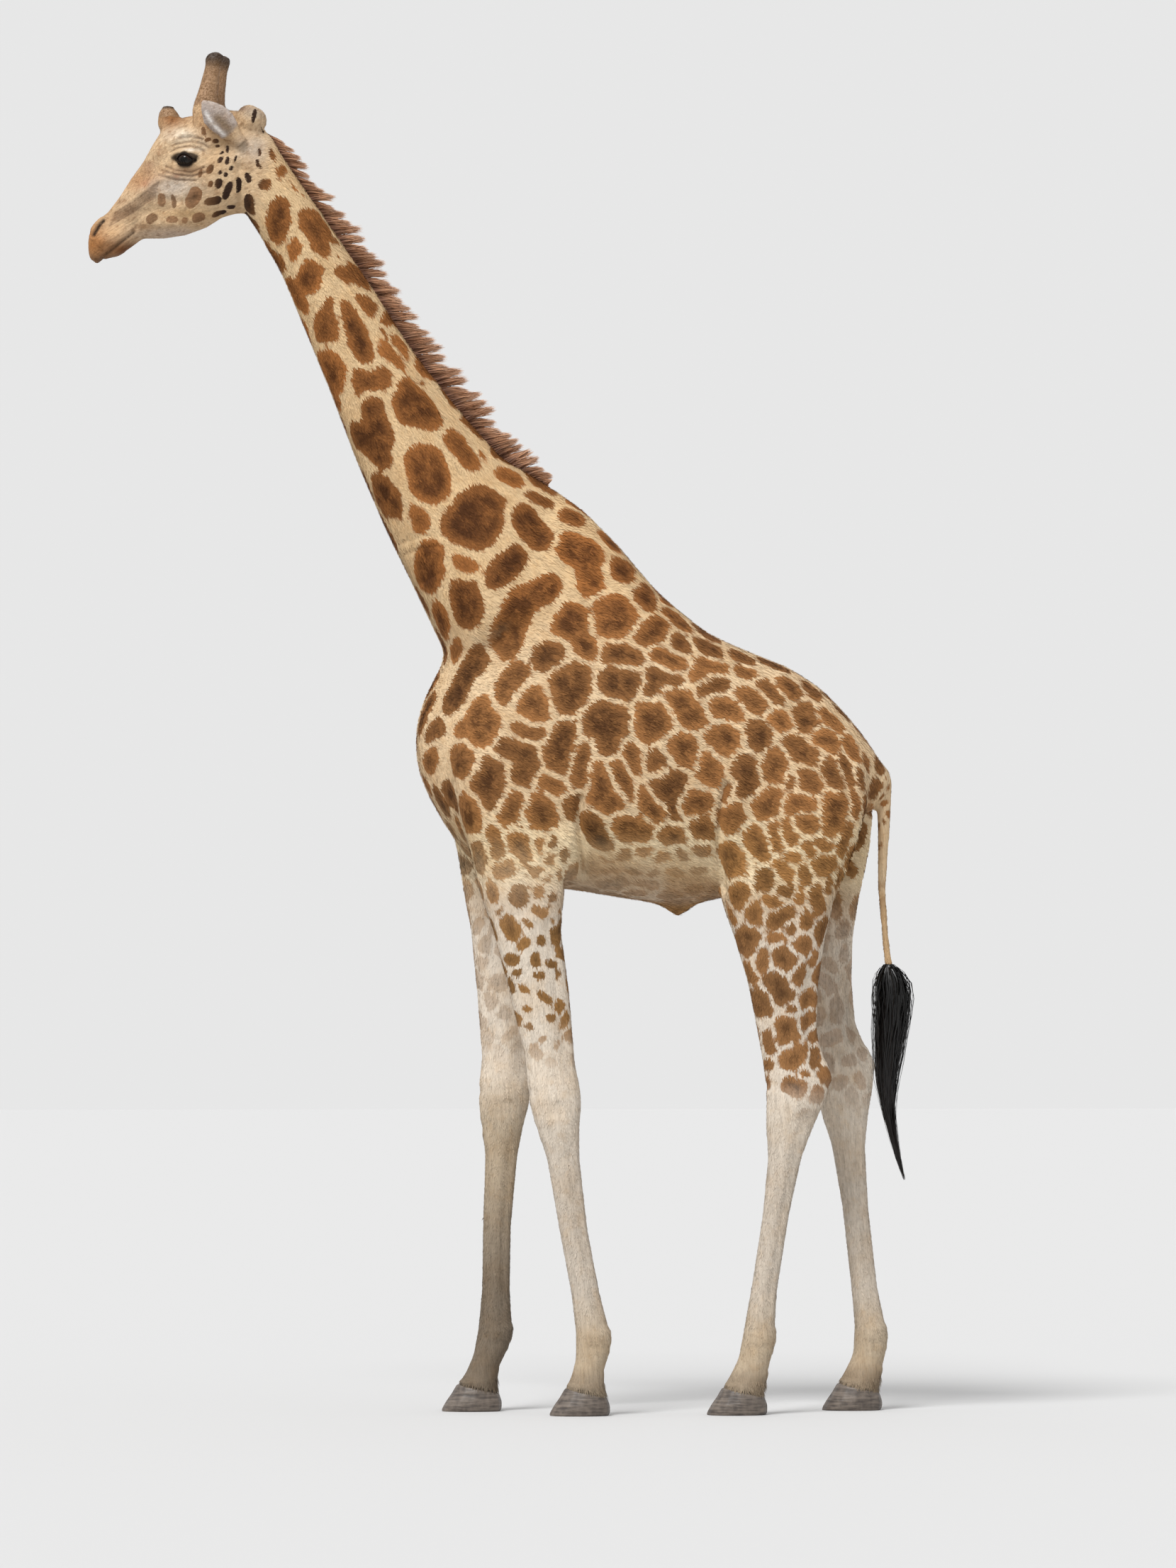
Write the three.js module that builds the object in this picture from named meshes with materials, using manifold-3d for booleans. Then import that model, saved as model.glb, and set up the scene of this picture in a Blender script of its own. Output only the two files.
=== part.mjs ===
// A life-size adult male West African giraffe, standing still.
// Millimetres, +Z up. The animal faces -X and its left side is -Y. The origin lies on the
// floor, under the middle of the animal's box. The whole body is joined first, then parted
// by thin cuts, so that neighbouring parts run on into each other.
import * as THREE from "three";
import { LoftGeometry } from "three/addons/geometries/LoftGeometry.js";
import { mergeVertices } from "three/addons/utils/BufferGeometryUtils.js";
import Module from "manifold-3d";

const wasm = await Module();
wasm.setup();

// ---------- driving dimensions ----------

const CUT = 0.8; // width of the cuts that part the body
const SOLE = 18; // level of the soles, on the scale of heights used for the body
const HOOF_HEIGHT = 92; // coronet above the sole, at the front of the hoof
const HOOF_SLOPE = 0.22; // how fast the coronet drops towards the heel
const CLEFT = 7; // gap between the two claws of a foot
const HEAD_YAW = THREE.MathUtils.degToRad(12); // the head looks a little to the animal's right
const HEAD_LENGTHEN = 1.026; // stretches the head's stations away from its pivot
const HEAD_PIVOT = new THREE.Vector3(-800, 0, 4120); // where the head turns on the neck
const EYE = { at: [-1016, 93, 4138], radius: 29, detail: 6 };
const SOCKET_GAP = 0.4;
const MANE_HALF = 11; // half the mane's thickness where it leaves the neck
const MANE_LOCK = 68; // length of neck that one lock of the mane covers

// ---------- solids ----------

// A closed three.js geometry as a solid, with its faces turned outwards.
function solidOf(geometry, matrix = new THREE.Matrix4()) {
  const bare = new THREE.BufferGeometry().copy(geometry).applyMatrix4(matrix);
  bare.deleteAttribute("normal");
  bare.deleteAttribute("uv");
  const merged = mergeVertices(bare, 1e-3);
  const make = (triVerts) =>
    new wasm.Manifold(
      new wasm.Mesh({
        numProp: 3,
        vertProperties: merged.attributes.position.array,
        triVerts,
      }),
    );
  const triVerts = new Uint32Array(merged.index.array);
  const solid = make(triVerts);
  return solid.volume() > 0 ? solid : make(triVerts.reverse());
}

function geometryOf(solid) {
  const { vertProperties, triVerts, numProp, numVert } = solid.getMesh();
  const position = new Float32Array(numVert * 3);
  for (let i = 0; i < numVert; i++) {
    position.set(vertProperties.subarray(i * numProp, i * numProp + 3), i * 3);
  }
  const geometry = new THREE.BufferGeometry();
  geometry.setAttribute("position", new THREE.BufferAttribute(position, 3));
  geometry.setIndex(new THREE.BufferAttribute(triVerts, 1));
  geometry.computeVertexNormals();
  return geometry;
}

const join = (solids) => solids.reduce((whole, solid) => whole.add(solid));

// An oval ring between a top and a bottom point of the side view. "egg" below 0 narrows its
// top, "square" below 1 fills its corners, and "yaw" turns it about its own upright axis.
function ovalRing({ top, bottom, half, egg, y, yaw }, sides, square, grow) {
  const rise = new THREE.Vector2(top[0] - bottom[0], top[1] - bottom[1]);
  const reach = rise.length() / 2 + grow;
  rise.normalize();
  const up = new THREE.Vector3(
    rise.x * Math.cos(yaw),
    -rise.x * Math.sin(yaw),
    rise.y,
  );
  const side = new THREE.Vector3(Math.sin(yaw), Math.cos(yaw), 0);
  const middle = new THREE.Vector3(
    (top[0] + bottom[0]) / 2,
    y,
    (top[1] + bottom[1]) / 2,
  );
  return Array.from({ length: sides }, (_, i) => {
    const angle = (i / sides) * 2 * Math.PI;
    const c = Math.cos(angle);
    const s = Math.sin(angle);
    const width = (half + grow) * Math.sign(s) * Math.abs(s) ** square;
    return middle
      .clone()
      .addScaledVector(up, reach * c)
      .addScaledVector(side, width * (1 + egg * c));
  });
}

// A closed solid through rings of points, each of which is turned to face along the form.
function skin(rings) {
  const facing = (ring, next) => {
    const normal = new THREE.Vector3();
    ring.forEach((point, i) => {
      normal.add(new THREE.Vector3().crossVectors(point, ring[(i + 1) % ring.length]));
    });
    return normal.dot(new THREE.Vector3().subVectors(next[0], ring[0])) > 0;
  };
  const half = Math.floor(rings.length / 2);
  const wound = facing(rings[half - 1], rings[half])
    ? rings
    : rings.map((ring) => [...ring].reverse());
  return solidOf(new LoftGeometry(wound, { capStart: true, capEnd: true }));
}

// A smooth closed form through oval stations, with "steps" rings from each one to the next.
function loft(stations, options = {}) {
  const { sides = 20, steps = 1, square = 1, grow = 0 } = options;
  const rows = stations.map(
    ({ top, bottom, half, egg = 0, y = 0, yaw = 0 }) => [
      ...top,
      ...bottom,
      half,
      egg,
      y,
      yaw,
    ],
  );
  const along = [0];
  for (let i = 1; i < rows.length; i++) {
    const [a, b] = [rows[i - 1], rows[i]];
    const dx = (a[0] + a[2] - b[0] - b[2]) / 2;
    const dz = (a[1] + a[3] - b[1] - b[3]) / 2;
    along.push(along[i - 1] + Math.max(1, Math.hypot(dx, dz, a[6] - b[6])));
  }
  const curve = new THREE.CubicInterpolant(along, rows.flat(), rows[0].length);
  const rings = [];
  for (let i = 0; i < rows.length; i++) {
    const inner = i < rows.length - 1 ? steps : 1;
    for (let k = 0; k < inner; k++) {
      const from = along[i];
      const to = along[i + 1] ?? from;
      const [tx, tz, bx, bz, half, egg, y, yaw] = curve.evaluate(
        from + ((to - from) * k) / inner,
      );
      const station = { top: [tx, tz], bottom: [bx, bz], half, egg, y, yaw };
      rings.push(ovalRing(station, sides, square, grow));
    }
  }
  return skin(rings);
}

function ellipsoid(at, radii, tilt = 0, detail = 6) {
  const matrix = new THREE.Matrix4().compose(
    new THREE.Vector3(...at),
    new THREE.Quaternion().setFromAxisAngle(new THREE.Vector3(0, 1, 0), tilt),
    new THREE.Vector3(...radii),
  );
  return solidOf(new THREE.SphereGeometry(1, 2 * detail, detail), matrix);
}

// A round upright form, from a list of [x, z, radius] up its axis.
function turned(rows, { y = 0, flat = 1, grow = 0 } = {}) {
  const stations = rows.map(([x, z, radius]) => ({
    top: [x - radius, z],
    bottom: [x + radius, z],
    half: radius * flat,
    y,
  }));
  return loft(stations, { sides: 12, grow });
}

// A flat slab through a side-view point, with its normal in the side view.
function slab(at, normal, size, thickness = CUT) {
  const angle = Math.atan2(normal[0], normal[1]);
  const matrix = new THREE.Matrix4().compose(
    new THREE.Vector3(at[0], at[1], at[2]),
    new THREE.Quaternion().setFromAxisAngle(new THREE.Vector3(0, 1, 0), angle),
    new THREE.Vector3(1, 1, 1),
  );
  return solidOf(new THREE.BoxGeometry(size[0], size[1], thickness), matrix);
}

const mirrored = (solid) => solid.mirror([0, 1, 0]);
const bothSides = (solid) => [solid, mirrored(solid)];

// ---------- head ----------

const headStations = [
  { top: [-1354, 3856], bottom: [-1348, 3818], half: 18 },
  { top: [-1354, 3890], bottom: [-1324, 3806], half: 44 },
  { top: [-1342, 3932], bottom: [-1288, 3824], half: 60, egg: -0.18 },
  { top: [-1318, 3958], bottom: [-1256, 3832], half: 62, egg: -0.2 },
  { top: [-1290, 3980], bottom: [-1224, 3850], half: 60, egg: -0.2 },
  { top: [-1250, 4034], bottom: [-1175, 3886], half: 58, egg: -0.15 },
  { top: [-1215, 4090], bottom: [-1105, 3885], half: 66, egg: -0.1 },
  { top: [-1175, 4145], bottom: [-1035, 3895], half: 84, egg: 0.02 },
  { top: [-1145, 4200], bottom: [-965, 3920], half: 98, egg: 0.12 },
  { top: [-1112, 4252], bottom: [-915, 3952], half: 106, egg: 0.15 },
  { top: [-1044, 4290], bottom: [-872, 3964], half: 104, egg: 0.1 },
  { top: [-950, 4308], bottom: [-850, 3964], half: 98, egg: 0.02 },
  { top: [-865, 4312], bottom: [-835, 3966], half: 88 },
  { top: [-795, 4274], bottom: [-822, 3985], half: 76 },
  { top: [-762, 4225], bottom: [-800, 4040], half: 50 },
];
const headDetail = { sides: 16 };
const orbit = { at: [-1012, 78, 4142], radii: [58, 40, 44] };
const rearKnob = { at: [-822, 42, 4276], radii: [48, 38, 51] };
const nostril = { at: [-1327, 44, 3922], radii: [20, 12, 6], tilt: -0.95 };

// The mouth runs from under the lip's tip back and up to its corner.
const mouthLine = [
  [-1345, 3815],
  [-1312, 3826],
  [-1275, 3842],
  [-1240, 3866],
  [-1212, 3888],
];
const MOUTH_GROOVE = 5;
const MOUTH_HALF = 100;

function mouthGroove() {
  const upper = mouthLine.map(([x, z]) => new THREE.Vector2(x, z + MOUTH_GROOVE / 2));
  const lower = mouthLine.map(([x, z]) => new THREE.Vector2(x, z - MOUTH_GROOVE / 2));
  const shape = new THREE.Shape([...upper, ...lower.reverse()]);
  const groove = new THREE.ExtrudeGeometry(shape, {
    depth: 2 * MOUTH_HALF,
    bevelEnabled: false,
  });
  groove.rotateX(Math.PI / 2).translate(0, MOUTH_HALF, 0);
  return solidOf(groove);
}

// The core keeps the lips joined behind the groove.
const mouthCore = headStations
  .slice(1, 7)
  .map((station) => ({ ...station, half: station.half - 16 }));

const ossicone = [
  [-936, 4190, 44],
  [-946, 4250, 56],
  [-955, 4300, 51],
  [-958, 4330, 42],
  [-950, 4372, 35],
  [-940, 4425, 30],
  [-933, 4458, 27],
  [-930, 4478, 28],
  [-928, 4491, 21],
  [-927, 4497, 7],
];
const ossiconePlace = { y: 62, flat: 0.85 };
const frontKnob = [
  [-1050, 4195, 24],
  [-1070, 4232, 46],
  [-1084, 4262, 45],
  [-1090, 4288, 38],
  [-1093, 4308, 31],
  [-1094, 4321, 18],
  [-1094, 4325, 5],
];

// The right ear, a cupped leaf that points forwards and opens towards the forehead. Each row
// is a share of the length, the width across, and how far the edges curl round.
const ear = {
  base: new THREE.Vector3(-842, 86, 4194),
  along: new THREE.Vector3(-0.62, 0.3, 0.7).normalize(),
  opens: new THREE.Vector3(-0.35, -0.9, 0.1),
  length: 186,
  thick: 7,
  back: 22,
  parted: 0.2,
  leaf: [
    [-0.05, 48, 2.7],
    [0.12, 54, 2.5],
    [0.28, 78, 1.8],
    [0.48, 96, 1.35],
    [0.7, 84, 1.1],
    [0.88, 48, 0.95],
    [1, 12, 0.8],
  ],
};
const EAR_ARC_POINTS = 8;

// Each section of the ear is a bent strip, and the backs of the strips lie in one line.
function earSolid() {
  const { base, along, opens, length, thick, back, leaf } = ear;
  const across = new THREE.Vector3().crossVectors(along, opens).normalize();
  const open = new THREE.Vector3().crossVectors(across, along).normalize();
  const rings = leaf.map(([share, width, curl]) => {
    const radius = width / 2 / Math.sin(Math.min(curl, Math.PI / 2));
    const centre = base.clone().addScaledVector(along, share * length);
    centre.addScaledVector(open, radius - back);
    const strip = (r) =>
      Array.from({ length: EAR_ARC_POINTS }, (_, i) => {
        const angle = curl * ((2 * i) / (EAR_ARC_POINTS - 1) - 1);
        return centre
          .clone()
          .addScaledVector(across, r * Math.sin(angle))
          .addScaledVector(open, -r * Math.cos(angle));
      });
    return [...strip(radius), ...strip(radius - thick).reverse()];
  });
  return skin(rings);
}

const earPartedAt = ear.along.dot(ear.base) + ear.parted * ear.length;
const earLeaf = earSolid()
  .trimByPlane(ear.along.toArray(), earPartedAt + CUT / 2)
  .subtract(loft(headStations, { ...headDetail, grow: CUT }))
  .subtract(turned(ossicone, { ...ossiconePlace, grow: CUT }));
const earStub = earSolid().trimByPlane(
  ear.along.clone().negate().toArray(),
  CUT / 2 - earPartedAt,
);

const turnHead = new THREE.Matrix4()
  .makeTranslation(HEAD_PIVOT)
  .multiply(new THREE.Matrix4().makeRotationZ(-HEAD_YAW))
  .multiply(new THREE.Matrix4().makeScale(HEAD_LENGTHEN, 1, 1))
  .multiply(new THREE.Matrix4().makeTranslation(HEAD_PIVOT.clone().negate()));
const withHead = (solid) => solid.transform(turnHead.elements);

const eyeball = ellipsoid(EYE.at, Array(3).fill(EYE.radius), 0, EYE.detail);
const socket = ellipsoid(EYE.at, Array(3).fill(EYE.radius + SOCKET_GAP), 0, EYE.detail);

function headSolid() {
  const skull = join([
    loft(headStations, headDetail),
    ...bothSides(ellipsoid(orbit.at, orbit.radii)),
    ...bothSides(ellipsoid(rearKnob.at, rearKnob.radii)),
  ]);
  const lips = mouthGroove().subtract(loft(mouthCore, { sides: 12 }));
  return join([
    skull.subtract(lips),
    ...bothSides(turned(ossicone, ossiconePlace)),
    turned(frontKnob),
    ...bothSides(earStub),
  ])
    .subtract(join(bothSides(socket)))
    .subtract(join(bothSides(ellipsoid(nostril.at, nostril.radii, nostril.tilt, 4))));
}

// ---------- neck and mane ----------

const neckStations = [
  { top: [-800, 4255], bottom: [-850, 3985], half: 64, yaw: HEAD_YAW },
  { top: [-750, 4224], bottom: [-828, 3940], half: 74, yaw: HEAD_YAW, egg: -0.1 },
  { top: [-676, 4108], bottom: [-798, 3890], half: 80, yaw: 0.85 * HEAD_YAW, egg: -0.16 },
  { top: [-527, 3894], bottom: [-721, 3752], half: 84, yaw: 0.5 * HEAD_YAW, egg: -0.22 },
  { top: [-405, 3718], bottom: [-644, 3565], half: 92, yaw: 0.2 * HEAD_YAW, egg: -0.25 },
  { top: [-290, 3535], bottom: [-567, 3380], half: 104, egg: -0.28 },
  { top: [-130, 3330], bottom: [-478, 3145], half: 124, egg: -0.3 },
  { top: [15, 3168], bottom: [-377, 2910], half: 150, egg: -0.34 },
  { top: [165, 3084], bottom: [-286, 2725], half: 184, egg: -0.4 },
  { top: [290, 3005], bottom: [-208, 2560], half: 212, egg: -0.42 },
  { top: [400, 2880], bottom: [-163, 2470], half: 220, egg: -0.42 },
];

const neckDetail = { sides: 18 };

// A ridge of stiff hair along the top of the neck, in backswept locks.
const manePath = [
  [-763, 4244],
  [-712, 4172],
  [-664, 4090],
  [-527, 3894],
  [-405, 3718],
  [-290, 3535],
  [-130, 3330],
  [15, 3165],
  [110, 3105],
  [160, 3075],
];
const maneHeights = [14, 32, 44, 58, 56, 54, 54, 52, 42, 16];
const MANE_ROOT = 30; // how deep the ridge starts inside the neck

function maneSolid() {
  const path = new THREE.CatmullRomCurve3(
    manePath.map(([x, z], i) => new THREE.Vector3(x, maneHeights[i], z)),
    false,
    "centripetal",
  );
  const locks = Math.round(path.getLength() / MANE_LOCK);
  const stations = [];
  for (let i = 0; i <= 2 * locks; i++) {
    const share = i / (2 * locks);
    const at = path.getPointAt(share);
    const next = path.getTangentAt(share);
    const out = new THREE.Vector2(next.z * -1, next.x).normalize();
    const height = at.y * (i % 2 ? 1.12 : 0.84);
    stations.push({
      top: [at.x + out.x * height, at.z + out.y * height],
      bottom: [at.x - out.x * MANE_ROOT, at.z - out.y * MANE_ROOT],
      half: MANE_HALF,
      egg: -0.35,
      yaw: HEAD_YAW * THREE.MathUtils.clamp(1 - 2.5 * share, 0, 1),
    });
  }
  return loft(stations, { sides: 5 });
}

// ---------- trunk, tail ----------

// Upright sections: x, height of the back, height of the belly, half width, egg.
const trunkRows = [
  [-284, 2275, 2160, 40, 0],
  [-267, 2345, 2102, 88, 0],
  [-232, 2424, 2022, 130, -0.05],
  [-180, 2520, 1936, 168, -0.1],
  [-112, 2700, 1836, 208, -0.2],
  [5, 2860, 1770, 240, -0.32],
  [120, 3016, 1742, 262, -0.4],
  [235, 3040, 1732, 280, -0.36],
  [380, 2906, 1708, 296, -0.25],
  [525, 2730, 1686, 305, -0.12],
  [685, 2598, 1694, 292, -0.08],
  [825, 2536, 1728, 262, -0.1],
  [965, 2482, 1790, 236, -0.12],
  [1070, 2412, 1860, 212, -0.1],
  [1160, 2316, 1950, 165, -0.05],
  [1238, 2218, 2010, 96, 0],
  [1284, 2130, 2055, 34, 0],
];
const trunkStations = trunkRows.map(([x, back, belly, half, egg]) => ({
  top: [x, back],
  bottom: [x, belly],
  half,
  egg,
}));

const sheath = { at: [590, 0, 1678], radii: [58, 30, 52], tilt: -0.5 };

// x of the front and back, height, half width
const tailRows = [
  [1188, 1290, 2170, 34],
  [1226, 1298, 2100, 32],
  [1242, 1297, 2030, 26],
  [1248, 1292, 1940, 21],
  [1248, 1284, 1840, 18],
  [1248, 1278, 1740, 15],
  [1258, 1285, 1620, 13],
  [1266, 1294, 1530, 13],
  [1270, 1304, 1486, 15],
  [1256, 1336, 1452, 26],
  [1244, 1355, 1410, 38],
  [1243, 1362, 1360, 42],
  [1248, 1350, 1270, 42],
  [1248, 1326, 1180, 38],
  [1254, 1312, 1080, 28],
  [1270, 1308, 990, 18],
  [1296, 1325, 895, 11],
  [1330, 1344, 810, 6],
  [1346, 1352, 775, 3],
];
const uprightRow = ([front, back, z, half, y = 0]) => ({
  top: [front, z],
  bottom: [back, z],
  half,
  y,
});

// ---------- legs ----------

// How far the leg's surface stands in front of and behind the line of its bones, and its half
// width, at a share of the way from one joint to the next.
const foreSizes = [
  { bone: 0, share: 0, front: 95, back: 60, half: 26 },
  { bone: 0, share: 0.35, front: 150, back: 80, half: 52 },
  { bone: 0, share: 0.75, front: 190, back: 110, half: 78 },
  { bone: 1, share: 0.1, front: 215, back: 125, half: 92 },
  { bone: 1, share: 0.55, front: 190, back: 150, half: 98 },
  { bone: 2, share: 0, front: 150, back: 152, half: 94 },
  { bone: 2, share: 0.18, front: 119, back: 114, half: 82 },
  { bone: 2, share: 0.45, front: 97, back: 110, half: 70 },
  { bone: 2, share: 0.74, front: 78, back: 94, half: 60 },
  { bone: 2, share: 0.92, front: 82, back: 88, half: 66 },
  { bone: 3, share: 0.05, front: 72, back: 74, half: 60 },
  { bone: 3, share: 0.19, front: 58, back: 58, half: 46 },
  { bone: 3, share: 0.5, front: 56, back: 47, half: 38 },
  { bone: 3, share: 0.78, front: 50, back: 52, half: 42 },
  { bone: 3, share: 0.95, front: 56, back: 64, half: 54 },
  { bone: 4, share: 0.3, front: 54, back: 68, half: 54 },
  { bone: 4, share: 0.68, front: 57, back: 56, half: 50 },
  { bone: 4, share: 1, front: 66, back: 62, half: 56 },
];
const hindSizes = [
  { bone: 0, share: 0, front: 110, back: 90, half: 60 },
  { bone: 0, share: 0.45, front: 215, back: 225, half: 100 },
  { bone: 1, share: 0.1, front: 250, back: 270, half: 108 },
  { bone: 1, share: 0.55, front: 238, back: 246, half: 104 },
  { bone: 2, share: 0, front: 200, back: 195, half: 98 },
  { bone: 2, share: 0.2, front: 160, back: 148, half: 84 },
  { bone: 2, share: 0.45, front: 128, back: 112, half: 70 },
  { bone: 2, share: 0.7, front: 112, back: 94, half: 58 },
  { bone: 2, share: 0.85, front: 103, back: 114, half: 58 },
  { bone: 2, share: 0.94, front: 101, back: 129, half: 60 },
  { bone: 3, share: 0.04, front: 94, back: 112, half: 60 },
  { bone: 3, share: 0.15, front: 82, back: 84, half: 52 },
  { bone: 3, share: 0.27, front: 60, back: 60, half: 44 },
  { bone: 3, share: 0.5, front: 50, back: 46, half: 37 },
  { bone: 3, share: 0.8, front: 52, back: 43, half: 40 },
  { bone: 3, share: 0.95, front: 56, back: 54, half: 50 },
  { bone: 4, share: 0.3, front: 52, back: 72, half: 52 },
  { bone: 4, share: 0.68, front: 60, back: 72, half: 50 },
  { bone: 4, share: 1, front: 68, back: 68, half: 56 },
];

// Joints down each leg, as x, distance from the middle plane, and height.
const legs = {
  leg_front_left: {
    side: -1,
    sizes: foreSizes,
    joints: [
      [158, 120, 2760],
      [28, 196, 2180],
      [58, 196, 1740],
      [174, 172, 995],
      [296, 162, 255],
      [270, 160, 96],
    ],
  },
  leg_front_right: {
    side: 1,
    sizes: foreSizes,
    joints: [
      [162, 120, 2760],
      [30, 196, 2180],
      [30, 196, 1740],
      [20, 172, 1005],
      [-12, 164, 255],
      [-66, 164, 96],
    ],
  },
  leg_hind_left: {
    side: -1,
    sizes: hindSizes,
    joints: [
      [985, 108, 2290],
      [953, 165, 2060],
      [904, 178, 1700],
      [960, 152, 1085],
      [838, 146, 255],
      [788, 146, 96],
    ],
  },
  leg_hind_right: {
    side: 1,
    sizes: hindSizes,
    joints: [
      [1000, 108, 2290],
      [998, 165, 2060],
      [1018, 178, 1700],
      [1138, 152, 1128],
      [1244, 148, 255],
      [1196, 148, 96],
    ],
  },
};

function legSolid({ side, sizes, joints }) {
  const stations = sizes.map(({ bone, share, front, back, half }) => {
    const [x, y, z] = joints[bone].map((v, i) =>
      THREE.MathUtils.lerp(v, joints[bone + 1][i], share),
    );
    return { top: [x - front, z], bottom: [x + back, z], half, y: side * y };
  });
  return loft(stations, { sides: 12, square: 0.92 });
}

// Both claws of a foot in one, on a flat sole: height, reach in front of and behind the
// coronet's middle, half width.
const hoofRows = [
  [0, 122, 78, 66],
  [10, 120, 84, 70],
  [34, 106, 84, 71],
  [62, 86, 74, 66],
  [100, 64, 62, 58],
];

function hoofSolid({ side, joints }) {
  const [x, y] = joints.at(-1);
  const stations = hoofRows.map(([z, front, back, half]) => ({
    top: [x - front, SOLE + z],
    bottom: [x + back, SOLE + z],
    half,
    y: side * y,
  }));
  return loft(stations, { sides: 12, square: 0.85 });
}

// ---------- the whole body, and where it is parted ----------

const neck = loft(neckStations, neckDetail);
const head = withHead(headSolid());
const trunk = join([
  loft(trunkStations, { sides: 20, square: 0.9 }),
  ellipsoid(sheath.at, sheath.radii, sheath.tilt),
]);
const tail = loft(tailRows.map(uprightRow), { sides: 8 });
const limbs = Object.values(legs).flatMap((leg) => [legSolid(leg), hoofSolid(leg)]);
const whole = join([trunk, neck, head, tail, ...limbs]);

// The plane behind the jaw and the poll, where the head meets the neck.
const nape = { at: [-792, 0, 4100], normal: [0.97, -0.24] };

const headPoint = ([x, y, z]) => new THREE.Vector3(x, y, z).applyMatrix4(turnHead).toArray();
const cuts = [
  slab(nape.at, nape.normal, [540, 420]),
  slab([-36, 0, 2750], [0.817, -0.577], [980, 760]),
  slab([35, 0, 1712], [0, 1], [410, 760]),
  slab([958, 0, 1652], [0, 1], [556, 760]),
  slab([1271, 0, 1995], [0, 1], [70, 70]),
  slab([1287, 0, 1488], [0, 1], [100, 100]),
];
for (const side of [-1, 1]) {
  const at = headPoint([-956, side * ossiconePlace.y, 4320]);
  cuts.push(slab(at, [0, 1], [130, 104]));
}
cuts.push(slab(headPoint([-1090, 0, 4291]), [-0.1, 1], [112, 110]));

for (const { side, joints } of Object.values(legs)) {
  const [x, y] = joints.at(-1);
  cuts.push(slab([x - 66, side * y, SOLE + HOOF_HEIGHT], [HOOF_SLOPE, 1], [420, 220]));
  const below = new THREE.Vector3(-HOOF_SLOPE, 0, -1).normalize();
  const coronet = new THREE.Vector3(x - 66, side * y, SOLE + HOOF_HEIGHT);
  const cleft = new THREE.BoxGeometry(420, CLEFT, 260).translate(x, side * y, 0);
  cuts.push(solidOf(cleft).trimByPlane(below.toArray(), below.dot(coronet)));
}

// Each piece of the parted body is known by a point near its middle.
const partPoints = {
  head: headPoint([-1050, 0, 4060]),
  ossicone_left: headPoint([-950, -ossiconePlace.y, 4400]),
  ossicone_right: headPoint([-950, ossiconePlace.y, 4400]),
  ossicone_front: headPoint([-1095, 0, 4300]),
  neck: [-350, 0, 3400],
  trunk: [500, 0, 2250],
  tail: [1270, 0, 1740],
  tail_tuft: [1298, 0, 1200],
};
for (const [name, { side, joints }] of Object.entries(legs)) {
  const foot = name.replace("leg", "hoof");
  const [kneeX, kneeY, kneeZ] = joints[3];
  const [x, y] = joints.at(-1);
  partPoints[name] = [kneeX, side * kneeY, kneeZ - 100];
  partPoints[foot + "_outer"] = [x - 10, side * (y + 36), 40];
  partPoints[foot + "_inner"] = [x - 10, side * (y - 36), 40];
}

function middleOf(solid) {
  const { min, max } = solid.boundingBox();
  return min.map((v, i) => (v + max[i]) / 2);
}

const pieces = whole.subtract(join(cuts)).decompose();
if (pieces.length !== Object.keys(partPoints).length) {
  throw new Error("the cuts leave " + pieces.length + " pieces");
}
const solids = {};
for (const [name, point] of Object.entries(partPoints)) {
  const distances = pieces.map((piece) => {
    const middle = middleOf(piece);
    return Math.hypot(...middle.map((v, i) => v - point[i]));
  });
  solids[name] = pieces[distances.indexOf(Math.min(...distances))];
}
const behindNape = new THREE.Vector3(nape.normal[0], 0, nape.normal[1]).normalize();
solids.mane = maneSolid()
  .subtract(loft(neckStations, { ...neckDetail, grow: CUT / 2 }))
  .trimByPlane(behindNape.toArray(), behindNape.dot(new THREE.Vector3(...nape.at)) + CUT);
for (const [kind, solid] of Object.entries({ eye: eyeball, ear: earLeaf })) {
  solids[kind + "_left"] = withHead(mirrored(solid));
  solids[kind + "_right"] = withHead(solid);
}

// ---------- named meshes ----------

const coat = { color: 0xd9b98e, roughness: 0.9, metalness: 0 };
const finishes = {
  ear: { color: 0xd8cbbb, roughness: 0.9, metalness: 0 },
  eye: { color: 0x120d0a, roughness: 0.1, metalness: 0 },
  ossicone: { color: 0xa98b66, roughness: 0.85, metalness: 0 },
  mane: { color: 0x9a6a44, roughness: 0.85, metalness: 0 },
  tail_tuft: { color: 0x0f0d0e, roughness: 0.5, metalness: 0 },
  hoof: { color: 0x5d544c, roughness: 0.65, metalness: 0 },
  leg: { color: 0xe2d5c3, roughness: 0.9, metalness: 0 },
};

const giraffe = new THREE.Group();
for (const [name, solid] of Object.entries(solids)) {
  const kind = Object.keys(finishes).find((key) => name.startsWith(key));
  const material = new THREE.MeshStandardMaterial(finishes[kind] ?? coat);
  const mesh = new THREE.Mesh(geometryOf(solid), material);
  mesh.name = name;
  giraffe.add(mesh);
}
const box = new THREE.Box3().setFromObject(giraffe);
giraffe.position.set(-(box.min.x + box.max.x) / 2, -(box.min.y + box.max.y) / 2, -box.min.z);

export default giraffe;
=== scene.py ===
"""A life-size museum-type giraffe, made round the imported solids.

One skin stands for the nodes of flesh. It carries its markings as values on its points, and
the short coat takes them over at its roots, so that both show the same patches. The mane, the
tail's switch, eyes, lashes, horns and claws are pieces of their own. Metres, in the frame's
axes: the animal faces -X, and its left side is -Y.
"""

import bmesh
import bpy
import numpy as np
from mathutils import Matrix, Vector, noise
from mathutils.bvhtree import BVHTree


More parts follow.
